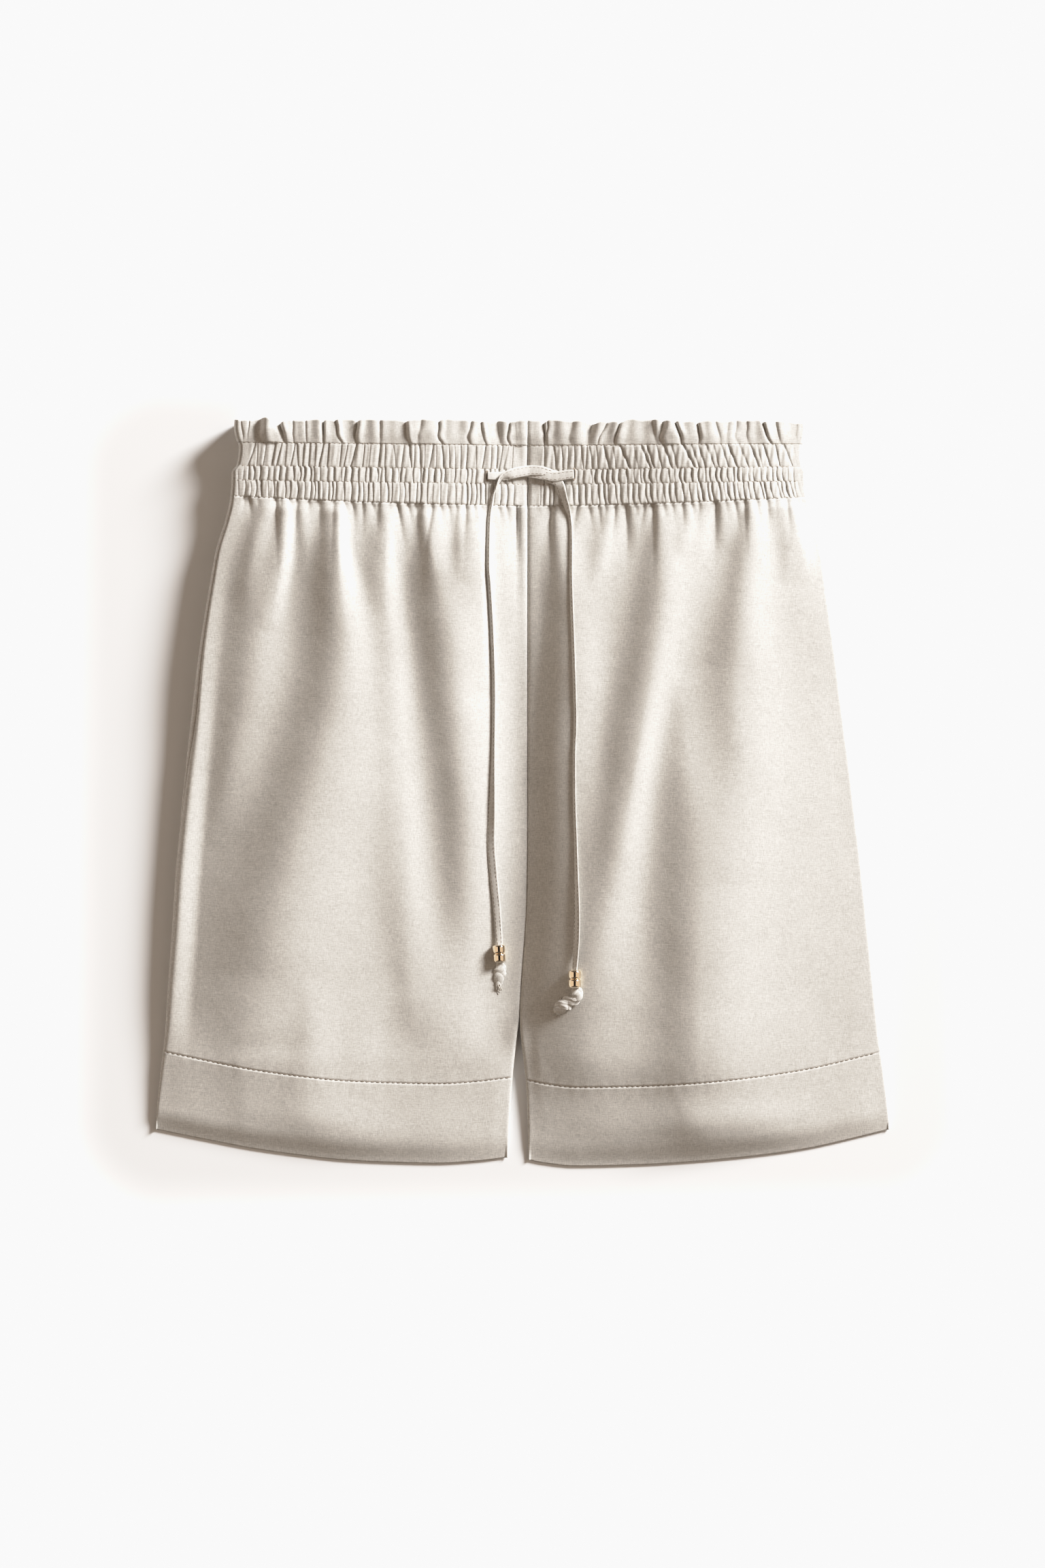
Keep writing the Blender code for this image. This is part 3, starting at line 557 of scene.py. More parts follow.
def row_height(row, x, y):
    """Height of one zone of the front waist over its base: -1 frill, 0 to 2, 3 body."""
    if row < 0:
        line = row_line(0, x)
        up = np.clip((y - line) / (TOP_EDGE - ROW_LINES[0]), 0.0, 1.0)
        total = 0.8 * np.sin(x * 0.085 + 0.6) + 0.7 * np.sin(x * 0.23 + 2.0) + 0.35 * np.sin(x * 0.61 + 1.0)
        for top, low, depth, half, lip, reach in FRILL_CREASES:
            bow = PX * (-0.6 + 2.6 * math.sin(1.7 * top)) * np.exp(-(((up - 0.34) / 0.24) ** 2))
            hook = PX * 3.0 * math.cos(0.9 * low) * np.exp(-((up / 0.16) ** 2))
            away = x - (X(low) + (X(top) - X(low)) * up + bow + hook)
            if np.abs(away).min() > 12.0:
                continue
            half, reach = half * PX, reach * PX
            total = total - 1.5 * depth * np.exp(-(skewed(away, half) ** 1.5))
            total = total + lip * np.exp(-(((away - half - 0.35 * reach) / (0.55 * reach)) ** 2))
        return total * (0.35 + 0.65 * smooth(up * 1.6)) + 0.5 * np.exp(-(((up - 0.4) / 0.4) ** 2))
    if row > 2:
        down = np.maximum(row_line(3, x) - y, 0.0)
        total = 0.25 * np.exp(-down / 3.0) + 0.0 * x
        for place, drift, strength, half, length in DEEP_GATHERS:
            part = down / (1.35 * length * PX)
            away = x - (X(place) + drift * PX * part)
            if np.abs(away).min() > 9.0:
                continue
            far = skewed(away, half * PX * (1.0 + 1.2 * part))
            fade = np.exp(-(part**1.6)) * strength
            total = total - 2.8 * fade * (0.5 * np.exp(-(far**1.3)) + 0.5 * np.exp(-((far / 2.4) ** 2)))
        return total
    high, low = row_line(row, x), row_line(row + 1, x)
    part = np.clip((high - y) / (high - low), 0.0, 1.0)
    swell = np.sqrt(np.clip(4 * part * (1 - part), 0.0, 1.0))
    creases = crease_sum(x, part, ROWS[row])
    bumps = 0.30 * np.sin(x * 1.37 + 3.0 * part + 2.0 * row) * np.sin(x * 0.53 + 2.0 * row)
    return (0.6 + 0.4 * swell) * CREASE_DEEP * creases + (ROW_BOW + bumps) * swell + 0.25


def waist_height(x, y):
    """The zones run into each other within a stitch's width of their stitch rows."""
    total = row_height(-1, x, y)
    for row in range(4):
        share = smooth((row_line(row, x) + 0.7 - y) / 1.4)
        total = total * (1 - share) + row_height(row, x, y) * share
    return total


def front_base(x, y, leg):
    a, b = side_x(leg, y), inner_x(leg, y)
    u = np.clip((x - a) / (b - a), 0.0, 1.0)
    return panel_form(leg, u, y), u


def front_height(x, y, leg):
    """Middle of the front's wall, for the wearer's right leg (1) or left leg (2)."""
    x, y = np.asarray(x, float), np.asarray(y, float)
    base, u = front_base(x, y, leg)
    opened = open_leg(y)
    calm = smooth((u - 0.01) / 0.07) * (1.0 - opened * smooth((u - 0.95) / 0.05))
    body = smooth((row_line(3, x) + 1.0 - y) / 8.0)
    hem = smooth((-128.0 - y) / 45.0)
    edge = smooth((hem_edge(leg, x) + 24.0 - y) / 22.0)
    folds = fold_sum(x, y) * body * (1.0 - 0.66 * hem) * (1.0 - 0.85 * edge)
    z = base + calm * (folds + long_wander(x, y) * body + short_wander(x, y) * body * 0.8)
    z = z + np.clip(calm * 1.2, 0, 1) * waist_height(x, y)
    # stitch rows pull the cloth in
    for row in range(4):
        away = (y - row_line(row, x)) / 0.38
        z = z - 0.05 * np.exp(-away * away)
    # hem: its stitch row, and the double cloth below it
    line = hem_stitch(leg, x)
    below = smooth((line - y) / 1.2)
    pucker = 0.10 * np.sin(x * 2 * math.pi / 7.3 + 2.0 * np.sin(x / 17.0))
    z = z + calm * (0.22 * below + 0.5 * pucker * np.exp(-(((y - line) / 4.0) ** 2)))
    z = z - 0.30 * np.exp(-(((y - line) / 0.55) ** 2))
    # the centre seam's ditch
    away = np.abs(x - inner_x(leg, y))
    z = z - (1 - opened) * (0.9 * np.exp(-((away / 0.55) ** 2)) + 0.25 * np.exp(-((away / 1.8) ** 2)))
    # at its free edge the hem rounds down to the surface
    down = np.clip((hem_edge(leg, x) + 9.0 - y) / 9.0, 0.0, 1.0)
    z = np.maximum(z, 1.05)
    return z + (0.34 - z) * down


def front_top(x, y):
    """Upper face of the front at these places."""
    x, y = np.asarray(x, float), np.asarray(y, float)
    return np.where(leg_of(x, y) == 1, front_height(x, y, 1), front_height(x, y, 2)) + THIN / 2


# ------------------------------------------------------------------ meshes
def link(obj):
    bpy.context.scene.collection.objects.link(obj)
    return obj


def grid_mesh(name, grid, wall=0.0, flip=False, closed=False):
    """A sheet through a grid of points, mm, with a wall if it is given one."""
    grid = np.asarray(grid, float)
    rows, columns = grid.shape[:2]
    index = np.arange(rows * columns).reshape(rows, columns)
    if closed:
        index = np.concatenate([index, index[:, :1]], axis=1)
    a, b = index[:-1, :-1], index[:-1, 1:]
    c, d = index[1:, 1:], index[1:, :-1]
    quads = np.stack([a, b, c, d] if flip else [a, d, c, b], axis=-1).reshape(-1, 4)
    return make_mesh(name, grid.reshape(-1, 3) * MM, quads, wall)


def make_mesh(name, points, faces, wall=0.0, smooth_faces=True):
    mesh = bpy.data.meshes.new(name)
    points = np.asarray(points, np.float32)
    faces = np.asarray(faces, np.int32)
    count, corners = faces.shape
    mesh.vertices.add(len(points))
    mesh.vertices.foreach_set("co", points.ravel())
    mesh.loops.add(count * corners)
    mesh.loops.foreach_set("vertex_index", faces.ravel())
    mesh.polygons.add(count)
    mesh.polygons.foreach_set("loop_start", np.arange(0, count * corners, corners, dtype=np.int32))
    mesh.polygons.foreach_set("loop_total", np.full(count, corners, dtype=np.int32))
    mesh.update(calc_edges=True)
    mesh.validate()
    if smooth_faces:
        mesh.shade_smooth()
    obj = link(bpy.data.objects.new(name, mesh))
    if wall:
        solid = obj.modifiers.new("Wall", "SOLIDIFY")
        solid.thickness = wall * MM
        solid.offset = 0.0
        solid.use_rim = True
    return obj


def spaced(low, high, steps):
    return np.linspace(low, high, steps)


SIDE_ROUND = np.array((        # plan depth of the side folds, mm: height, right leg, left leg
    (215.0, 2.6, 1.9), (150.0, 3.0, 1.9), (90.0, 3.4, 1.9), (20.0, 6.0, 1.9), (-130.0, 6.0, 1.9), (-215.0, 2.0, 1.5),
))
INNER_ROUND = 1.2


def side_roll(leg, ys, front, steps):
    """Points of the rolled side at these heights, from the seam inwards."""
    outward = -1.0 if leg == 1 else 1.0
    floor_mid = THIN / 2
    top = panel_form(leg, 0.0, ys)
    radius = (top - floor_mid) / 2
    edge = side_x(leg, ys) - outward * THIN / 2
    turn = np.radians(spline(ys, SEAM_TURNS[:, 0], SEAM_TURNS[:, leg]))
    squeeze = np.minimum(1.0, spline(ys, SIDE_ROUND[:, 0], SIDE_ROUND[:, leg]) / radius)  # the fold is sharper than it is high
    out = []
    for k in range(steps + 1):
        part = k / steps
        part = part * (0.45 + 0.55 * part)  # closer together at the seam
        angle = turn * (1 - part) if front else turn + (math.pi - turn) * part
        arc = np.abs(angle - turn) * radius
        r = radius - 0.55 * np.exp(-((arc / 0.55) ** 2)) - 0.12 * np.exp(-((arc / 1.6) ** 2))
        x = edge - outward * squeeze * (radius - r * np.sin(angle))
        z = floor_mid + radius + r * np.cos(angle)
        out.append((x, z))
    return out


def inner_roll(leg, ys, front, steps):
    """Points of the inner end at these heights, from the panel outwards to the seam."""
    outward = -1.0 if leg == 1 else 1.0
    floor_mid = THIN / 2
    top = np.maximum(panel_form(leg, 1.0, ys), 1.4)
    radius = (top - floor_mid) / 2
    opened = open_leg(ys)
    full = math.radians(88.0)
    sweep = np.maximum(full * opened, 1e-4)
    length = radius * full
    bend = length / sweep
    reach = bend * np.sin(sweep)
    end = inner_x(leg, ys) + outward * (THIN / 2 * opened + 0.01)
    squeeze = 1.0 - opened * (1.0 - np.minimum(1.0, INNER_ROUND / radius))
    out = []
    for k in range(steps + 1):
        part = k / steps
        part = 1 - (1 - part) * (0.45 + 0.55 * (1 - part))
        x = end + outward * squeeze * (reach - bend * np.sin(sweep * part))
        drop = bend * (1 - np.cos(sweep * part))
        out.append((x, drop))
    return out


def half_sheet(leg, front, lines, columns, roll_steps, height, wall, name, shear=None):
    """One half's sheet: rows from high to low line by line, columns from side to centre."""
    grid = []
    for line in lines:
        y_side = line(np.array(side_x(leg, 0.0)))
        for _ in range(8):
            y_side = line(side_x(leg, y_side))
        y_in = line(np.array(CENTRE))
        for _ in range(8):
            y_in = line(inner_x(leg, y_in))
        rolled = side_roll(leg, y_side, front, roll_steps)
        inner = inner_roll(leg, y_in, front, 5)
        xs = [float(x) for x, _ in rolled]
        zs = [float(z) for _, z in rolled]
        start, stop = xs[-1], float(inner[0][0])
        run = np.linspace(start, stop, columns + 2)[1:-1]
        run_y = line(run)
        run_z = height(run, run_y, leg)
        if front:
            # the roll's inner columns follow the panel, so the two run into each other
            tail_x = np.array(xs)
            tail_z = height(tail_x, line(tail_x), leg)
            keep = np.array([0.0] * 2 + list(smooth(np.linspace(0, 1, roll_steps - 1))))
            zs = list(np.array(zs) + (tail_z - zs[-1]) * keep)
        in_x = np.array([float(x) for x, _ in inner])
        drop = np.array([float(d) for _, d in inner])
        in_y = line(in_x)
        in_z = height(in_x, in_y, leg)
        opened = float(open_leg(y_in))
        if front:
            in_z = in_z * (1 - opened) + np.maximum(panel_form(leg, 1.0, y_in), 1.4) * opened - drop
            first = float(height(np.array([in_x[0]]), np.array([float(line(in_x[0]))]), leg)[0])
            gap = first - float(in_z[0])
            in_z = in_z + gap * np.linspace(1, 0, len(in_z)) ** 2
        else:
            in_z = in_z + drop
        x = np.concatenate([xs, run, in_x])
        y = np.concatenate([line(np.array(xs)), run_y, in_y])
        z = np.concatenate([zs, run_z, in_z])
        grid.append(np.stack([x, y, z], axis=1))
    grid = np.array(grid)
    if shear is not None:
        grid = shear(grid)
    return grid_mesh(name, grid, wall, flip=(leg == 2))


def body_lines(leg, steps, inside=0.0):
    """Lines from the casing's lower stitch row to the hem's edge, closer near the waist."""
    out = []
    for t in steps:
        out.append(lambda x, t=t: row_line(3, x) * (1 - t) + (hem_edge(leg, x) + inside) * t)
    return out


def hem_steps(count, gain):
    """Steps down the front, closer together at the hem's stitches and at its edge."""
    t = even(count - 30, gain)
    t = np.concatenate([t[:-1], 1.0 - (1.0 - t[-2]) * np.array((0.8, 0.6, 0.4, 0.2, 0.0))])
    stitched = np.linspace(0.8690, 0.8825, 26)
    return np.sort(np.concatenate([t[(t < 0.8685) | (t > 0.8830)], stitched]))


def even(count, gain):
    t = np.linspace(0, 1, count)
    return (np.exp(gain * t) - 1) / (math.exp(gain) - 1)


def back_height(x, y, leg):
    """Middle of the back's wall: on the surface, with gathers and creases off it."""
    x, y = np.asarray(x, float), np.asarray(y, float)
    flat = THIN / 2
    down = row_line(3, x) - y
    body = smooth(down / 3.0)
    gathers = -crease_sum(x, np.clip(down / 30.0, 0.0, 1.0), BACK_GATHERS, 1.1, True)
    fade = np.exp(-((np.maximum(down, 0.0) / (14.0 + 8.0 * np.sin(x * 0.31))) ** 1.2))
    z = flat + body * 1.9 * gathers * fade
    for stations in BACK_CREASES:
        table = np.array(stations, float)
        crest = spline(y, table[:, 1], table[:, 0])
        high = spline(y, table[:, 1], table[:, 2])
        z = z + np.maximum(high, 0.0) * np.exp(-(((x - crest) / 5.5) ** 2)) * body
    line = hem_stitch(leg, x)
    z = z + 0.22 * np.exp(-(((y - line) / 0.8) ** 2))
    away = np.abs(x - inner_x(leg, y))
    z = z + (1 - open_leg(y)) * 0.7 * np.exp(-((away / 0.6) ** 2))
    # the waist rows
    zones = 2.0 + 0.0 * x
    for row in range(3):
        high_line, low_line = row_line(row, x), row_line(row + 1, x)
        part = np.clip((high_line - y) / (high_line - low_line), 0.0, 1.0)
        swell = np.sqrt(np.clip(4 * part * (1 - part), 0.0, 1.0))
        own = 1.9 - 1.0 * swell - (0.45 + 0.55 * swell) * 2.3 * crease_sum(x, part, BACK_ROWS[row], 0.75, True)
        share = smooth((high_line + 0.7 - y) / 1.4) if row else 1.0
        zones = zones * (1 - share) + own * share
    up = np.clip((y - row_line(0, x)) / 14.0, 0.0, 1.0)
    frill = 1.0 + (0.4 + 0.6 * up) * (0.6 * np.sin(x * 0.2) - 3.9 * crease_sum(x, up, BACK_FRILL, 1.3, True))
    over = smooth((y - row_line(0, x) + 0.7) / 1.4)
    zones = zones * (1 - over) + frill * over
    share = smooth((row_line(3, x) + 0.7 - y) / 1.4)
    z = zones * (1 - share) + z * share
    return np.maximum(z, flat)


BACK_ROWS = (
    make_creases(31, 3.0, 5.0, lambda x: 0.6, 0.3),
    make_creases(32, 2.8, 4.6, lambda x: 0.1, 0.3),
    make_creases(33, 2.8, 4.6, lambda x: -0.2, 0.3),
)
BACK_FRILL = make_creases(34, 5.0, 9.5, lambda x: 0.5, 0.2)
BACK_GATHERS = make_creases(35, 3.4, 7.5, lambda x: 0.3, 0.2)
# creases of the back that stand off the surface: x, y, height
BACK_CREASES = (
    ((-120, 160, 2.0), (-126, 110, 2.4), (-140, 40, 1.2), (-150, -10, 0.0)),
    ((-84, 160, 1.6), (-80, 90, 2.0), (-92, 10, 1.0), (-104, -60, 0.0)),
    ((-40, 160, 1.8), (-38, 100, 2.2), (-26, 20, 1.4), (-20, -40, 0.0)),
    ((34, 160, 1.8), (40, 90, 2.2), (30, 0, 1.4), (22, -60, 0.0)),
    ((78, 160, 1.6), (84, 100, 2.0), (92, 30, 1.0), (110, -50, 0.0)),
    ((124, 160, 1.8), (122, 110, 2.2), (138, 30, 1.2), (150, -40, 0.0)),
    ((-70, -60, 0.0), (-74, -110, 1.0), (-78, -160, 0.8), (-80, -205, 0.4)),
    ((84, -40, 0.0), (80, -100, 1.0), (82, -160, 0.8), (86, -205, 0.4)),
)

pieces = {}


def cloth_piece(name, leg, front, lines, columns, roll_steps, nodes, wall=THIN, shear=None):
    height = front_height if front else back_height
    obj = half_sheet(leg, front, lines, columns, roll_steps, height, wall, name, shear)
    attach(obj, "root")
    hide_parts(*nodes)
    pieces[name] = obj
    return obj


def frill_lines(count):
    out = []
    for t in np.linspace(0, 1, count):
        def line(x, t=t):
            x = np.asarray(x, float)
            top = TOP_EDGE - 0.2 + 0.35 * np.sin(x * 0.11) + 0.2 * np.sin(x * 0.43 + 1.0)
            for place, deep, half in FRILL_DIPS:
                top = top - deep * np.exp(-(((x - X(place)) / (half * PX)) ** 2))
            return top * (1 - t) + row_line(0, x) * t
        out.append(line)
    return out


def casing_lines(per_row):
    out = []
    for row in range(3):
        for k in range(per_row):
            t = k / per_row
            t = 0.5 - 0.5 * math.cos(math.pi * t)
            out.append(lambda x, row=row, t=t: row_line(row, x) * (1 - t) + row_line(row + 1, x) * t)
    out.append(lambda x: row_line(3, x))
    return out


for leg, side in ((1, "right"), (2, "left")):
    cloth_piece(
        "front_" + side, leg, True, body_lines(leg, hem_steps(190, 0.9)), 215, 9,
        ("front_panel_" + side, "hem_front_" + side))
    cloth_piece(
        "waist_front_" + side, leg, True, casing_lines(14), 620, 6,
        ("casing_front_" + side,))
    cloth_piece(
        "frill_front_piece_" + side, leg, True, frill_lines(20), 520, 6,
        ("frill_front_" + side,))
    cloth_piece(
        "back_" + side, leg, False, body_lines(leg, even(84, 0.9), 3.4), 96, 14,
        ("back_panel_" + side, "hem_back_" + side))
    cloth_piece(
        "waist_back_" + side, leg, False, casing_lines(8), 240, 10,
        ("casing_back_" + side,))
    cloth_piece(
        "frill_back_piece_" + side, leg, False, frill_lines(9), 220, 8,
        ("frill_back_" + side,))


# ------------------------------------------------------------------ drawstring
TAPE_WIDE = 5.3
TAPE_DEEP = 0.95
TAPE_STEP = 0.5
# Each run of the tape, in the order it is followed: photo x, y, roll in degrees (0 face
# up, positive lifts the edge on the right of the way it runs), lift of its lower edge
# over the cloth in mm, share of the full width.
BAND_AND_RIGHT_STRAND = (
    (822.5, 701.3, 0, 0.15, 0.9), (815.0, 699.0, 0, 0.2, 1.0), (808.8, 696.6, 0, 0.35, 1.0),
    (802.5, 694.4, 0, 0.8, 1.0), (797.5, 692.9, 0, 1.3, 1.0), (790.0, 692.0, 0, 1.4, 1.04),
    (782.5, 691.8, 0, 1.5, 1.08), (776.3, 692.2, 2, 1.5, 1.1), (770.0, 693.2, 4, 1.45, 1.12),
    (761.3, 694.8, 8, 1.4, 1.12), (752.5, 697.2, 16, 1.35, 1.1), (745.0, 699.6, 30, 1.3, 1.06),
    (738.8, 703.0, 52, 1.2, 1.0), (733.8, 708.4, 76, 1.0, 0.98), (730.0, 715.0, 92, 0.7, 0.98),
    (726.5, 722.5, 102, 0.5, 0.76), (723.6, 731.3, 110, 0.4, 0.76), (720.7, 746.3, 118, 0.3, 0.76),
    (718.3, 765.0, 124, 0.2, 0.76), (717.0, 802.5, 126, 0.2, 0.76), (716.8, 840.0, 126, 0.2, 0.76),
    (718.5, 860.0, 126, 0.2, 0.76), (722.3, 926.0, 127, 0.2, 0.76), (725.0, 1012.0, 127, 0.2, 0.76),
    (724.3, 1100.0, 128, 0.2, 0.76), (722.5, 1180.0, 142, 0.2, 0.96), (721.8, 1240.0, 164, 0.3, 0.90),
    (726.0, 1292.0, 170, 0.6, 0.84), (730.3, 1335.0, 172, 0.9, 0.80), (733.4, 1378.0, 176, 1.5, 0.72),
    (734.2, 1392.0, 178, 2.6, 0.55), (734.5, 1402.0, 178, 3.2, 0.5),
)
LEFT_STRAND = (
    (802.5, 702.5, 0, 0.1, 0.9), (812.5, 705.0, -2, 0.15, 0.96), (820.8, 710.0, -8, 0.3, 1.0),
    (825.0, 721.0, -24, 0.3, 1.0), (828.8, 733.8, -42, 0.3, 1.0), (833.0, 747.5, -52, 0.25, 1.0),
    (836.4, 760.0, -58, 0.2, 0.76), (838.4, 777.5, -60, 0.2, 0.76), (838.6, 800.0, -60, 0.2, 0.76),
    (838.5, 860.0, -58, 0.2, 0.76), (842.2, 967.0, -58, 0.2, 0.76), (844.5, 1058.0, -58, 0.2, 0.76),
    (843.0, 1110.0, -60, 0.2, 0.76), (843.6, 1180.0, -62, 0.2, 0.76), (845.8, 1250.0, -60, 0.2, 0.76),
    (847.6, 1335.0, -56, 0.2, 0.96), (847.0, 1380.0, -50, 0.4, 0.90), (845.3, 1410.0, -40, 1.2, 0.72),
    (844.6, 1424.0, -30, 2.4, 0.55), (844.3, 1436.0, -20, 3.0, 0.5),
)
RIGHT_EXIT = (
    (716.6, 700.6, 6, 0.05, 0.80), (722.0, 700.6, 6, 0.2, 0.82), (730.0, 700.5, 4, 0.3, 0.85),
    (738.0, 700.2, 0, 0.3, 0.90), (746.0, 699.8, 0, 0.3, 0.95),
)
LEFT_EXIT = (
    (843.4, 697.2, 0, 0.4, 0.94), (840.5, 697.4, 0, 0.7, 1.0), (833.8, 698.2, 0, 1.0, 1.0),
    (827.5, 699.2, 0, 1.1, 1.02), (815.0, 700.8, 0, 1.1, 1.04), (802.5, 699.2, 0, 0.9, 1.02),
    (790.0, 697.1, -3, 0.6, 1.0), (780.0, 695.4, -4, 0.3, 1.0), (771.0, 693.8, -4, 0.2, 1.0),
)


def through(points, step):
    """A smooth curve through these rows, read off at even steps in their first two columns."""
    points = np.asarray(points, float)
    padded = np.concatenate([points[:1], points, points[-1:]])
    dense = []
    for p0, p1, p2, p3 in zip(padded, padded[1:], padded[2:], padded[3:]):
        t = np.linspace(0, 1, 24, endpoint=False)[:, None]
        dense.append(0.5 * (2 * p1 + (p2 - p0) * t + (2 * p0 - 5 * p1 + 4 * p2 - p3) * t**2 + (3 * p1 - p0 - 3 * p2 + p3) * t**3))
    dense = np.concatenate(dense + [points[-1:]])
    along = np.concatenate([[0.0], np.cumsum(np.hypot(*np.diff(dense[:, :2], axis=0).T))])
    at = np.linspace(0, along[-1], max(3, int(round(along[-1] / step)) + 1))
    return np.stack([np.interp(at, along, dense[:, k]) for k in range(dense.shape[1])], axis=1)


def eased(values, count):
    values = np.asarray(values, float)
    for _ in range(count):
        values = np.convolve(np.pad(values, 1, mode="edge"), (0.25, 0.5, 0.25), mode="valid")
    return values


def cloth_under(x, y, reach):
    """The cloth's height under something this wide: between its highest and its middle."""
    tops = np.array([
        front_top(x + dx * reach, y + dy * reach)
        for dx, dy in ((0, 0), (-1, 0), (1, 0), (0, -1), (0, 1), (-0.5, 0), (0.5, 0))
    ])
    return tops.max(axis=0) * 0.55 + tops.mean(axis=0) * 0.45


def tape_section(sides=13):
    """The tape's section: flat, with full rounded edges and the stitches' grooves."""
    s = np.sin(np.linspace(-math.pi / 2, math.pi / 2, sides))
    half = np.sqrt(np.clip(1 - np.abs(s) ** 5, 0, 1)) * TAPE_DEEP / 2
    groove = 0.13 * np.exp(-(((np.abs(s) - 0.60) / 0.09) ** 2))
    upper = np.stack([s * TAPE_WIDE / 2, half - groove], axis=1)
    lower = np.stack([s * TAPE_WIDE / 2, -half + groove], axis=1)
    return np.concatenate([upper, lower[::-1][1:-1]])


def tape_run(table):
    """Centre line, across and face directions of one run of tape, in mm."""
    rows = through([(float(X(a)), float(Y(b)), c, d, e) for a, b, c, d, e in table], TAPE_STEP)
    x, y, roll, lift, share = rows.T
    roll = np.radians(roll)
    wide = TAPE_WIDE * share
    rise = np.abs(np.sin(roll)) * (wide - TAPE_DEEP) / 2 + np.abs(np.cos(roll)) * TAPE_DEEP / 2
    under = np.maximum(eased(cloth_under(x, y, 2.2), 4), eased(front_top(x, y), 1))
    turned = np.abs(np.sin(roll))
    z = eased(under + 0.75 * lift + rise - 2.3 * turned**2, 6)
    centre = np.stack([x, y, z], axis=1)
    run = np.gradient(centre, axis=0)
    run /= np.linalg.norm(run, axis=1)[:, None]
    right = np.stack([run[:, 1], -run[:, 0], np.zeros(len(run))], axis=1)
    right /= np.linalg.norm(right, axis=1)[:, None]
    up = np.cross(right, run)
    across = right * np.cos(roll)[:, None] + up * np.sin(roll)[:, None]
    face = -right * np.sin(roll)[:, None] + up * np.cos(roll)[:, None]
    return centre, across, face, share


def ribbon(name, table, node_name):
    centre, across, face, share = tape_run(table)
    section = tape_section()
    rng = np.random.default_rng(len(centre))
    uneven = eased(rng.uniform(-1, 1, len(centre)), 10) * 0.35
    grid = (
        centre[:, None] + across[:, None] * (section[:, 0][None] * share[:, None])[..., None]
        + face[:, None] * (section[:, 1][None] * (1 + uneven)[:, None])[..., None]
    )
    rows, columns = grid.shape[:2]
    index = np.arange(rows * columns).reshape(rows, columns)
    index = np.concatenate([index, index[:, :1]], axis=1)
    a, b, c, d = index[:-1, :-1], index[:-1, 1:], index[1:, 1:], index[1:, :-1]
    quads = [np.stack([a, b, c, d], axis=-1).reshape(-1, 4)]
    half = columns // 2
    for ring, order in ((index[0, :-1], -1), (index[-1, :-1], 1)):
        cap = []
        for k in range(half):
            four = [ring[k], ring[k + 1], ring[-(k + 1) % columns], ring[-k % columns]]
            cap.append(four[::order])
        quads.append(np.array(cap))
    obj = make_mesh(name, grid.reshape(-1, 3) * MM, np.concatenate(quads))
    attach(obj, "root")
    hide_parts(node_name)
    return obj, centre, across, face, share


def follow(paths, name, radius, sides=6):
    """One mesh of thin round threads along these paths, mm, tapering at both ends."""
    points, faces, base = [], [], 0
    turn = np.linspace(0, 2 * math.pi, sides, endpoint=False)
    for path in paths:
        path = np.asarray(path, float)
        run = np.gradient(path, axis=0)
        run /= np.maximum(np.linalg.norm(run, axis=1), 1e-9)[:, None]
        aside = np.cross(run, (0.0, 0.0, 1.0))
        aside /= np.maximum(np.linalg.norm(aside, axis=1), 1e-9)[:, None]
        up = np.cross(aside, run)
        size = np.full(len(path), radius)
        size[[0, -1]] = radius * 0.35
        ring = path[:, None] + (aside[:, None] * np.cos(turn)[None, :, None] + up[:, None] * np.sin(turn)[None, :, None]) * size[:, None, None]
        points.append(ring.reshape(-1, 3))
        index = np.arange(len(path) * sides).reshape(len(path), sides) + base
        index = np.concatenate([index, index[:, :1]], axis=1)
        faces.append(np.stack([index[:-1, :-1], index[1:, :-1], index[1:, 1:], index[:-1, 1:]], axis=-1).reshape(-1, 4))
        base += len(path) * sides
    obj = make_mesh(name, np.concatenate(points) * MM, np.concatenate(faces))
    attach(obj, "root")
    return obj


def stitch_paths(line, pitch, long, rise):
    """Short threads along a line of points, each end sinking into the cloth."""
    line = np.asarray(line, float)
    along = np.concatenate([[0.0], np.cumsum(np.linalg.norm(np.diff(line, axis=0), axis=1))])
    out = []
    for start in np.arange(pitch * 0.3, along[-1] - pitch, pitch):
        at = start + np.linspace(0, long, 5)
        path = np.stack([np.interp(at, along, line[:, k]) for k in range(3)], axis=1)
        path[:, 2] += rise * np.array([-1.2, 0.5, 1.0, 0.5, -1.2])
        out.append(path)
    return out


right_tape = ribbon("tape_band_and_right_strand", BAND_AND_RIGHT_STRAND, "drawstring_right")
left_tape = ribbon("tape_left_strand", LEFT_STRAND, "drawstring_left")
right_exit = ribbon("tape_exit_right", RIGHT_EXIT, "drawstring_exit_right")
left_exit = ribbon("tape_exit_left", LEFT_EXIT, "drawstring_exit_left")
tapes = [right_tape[0], left_tape[0], right_exit[0], left_exit[0]]

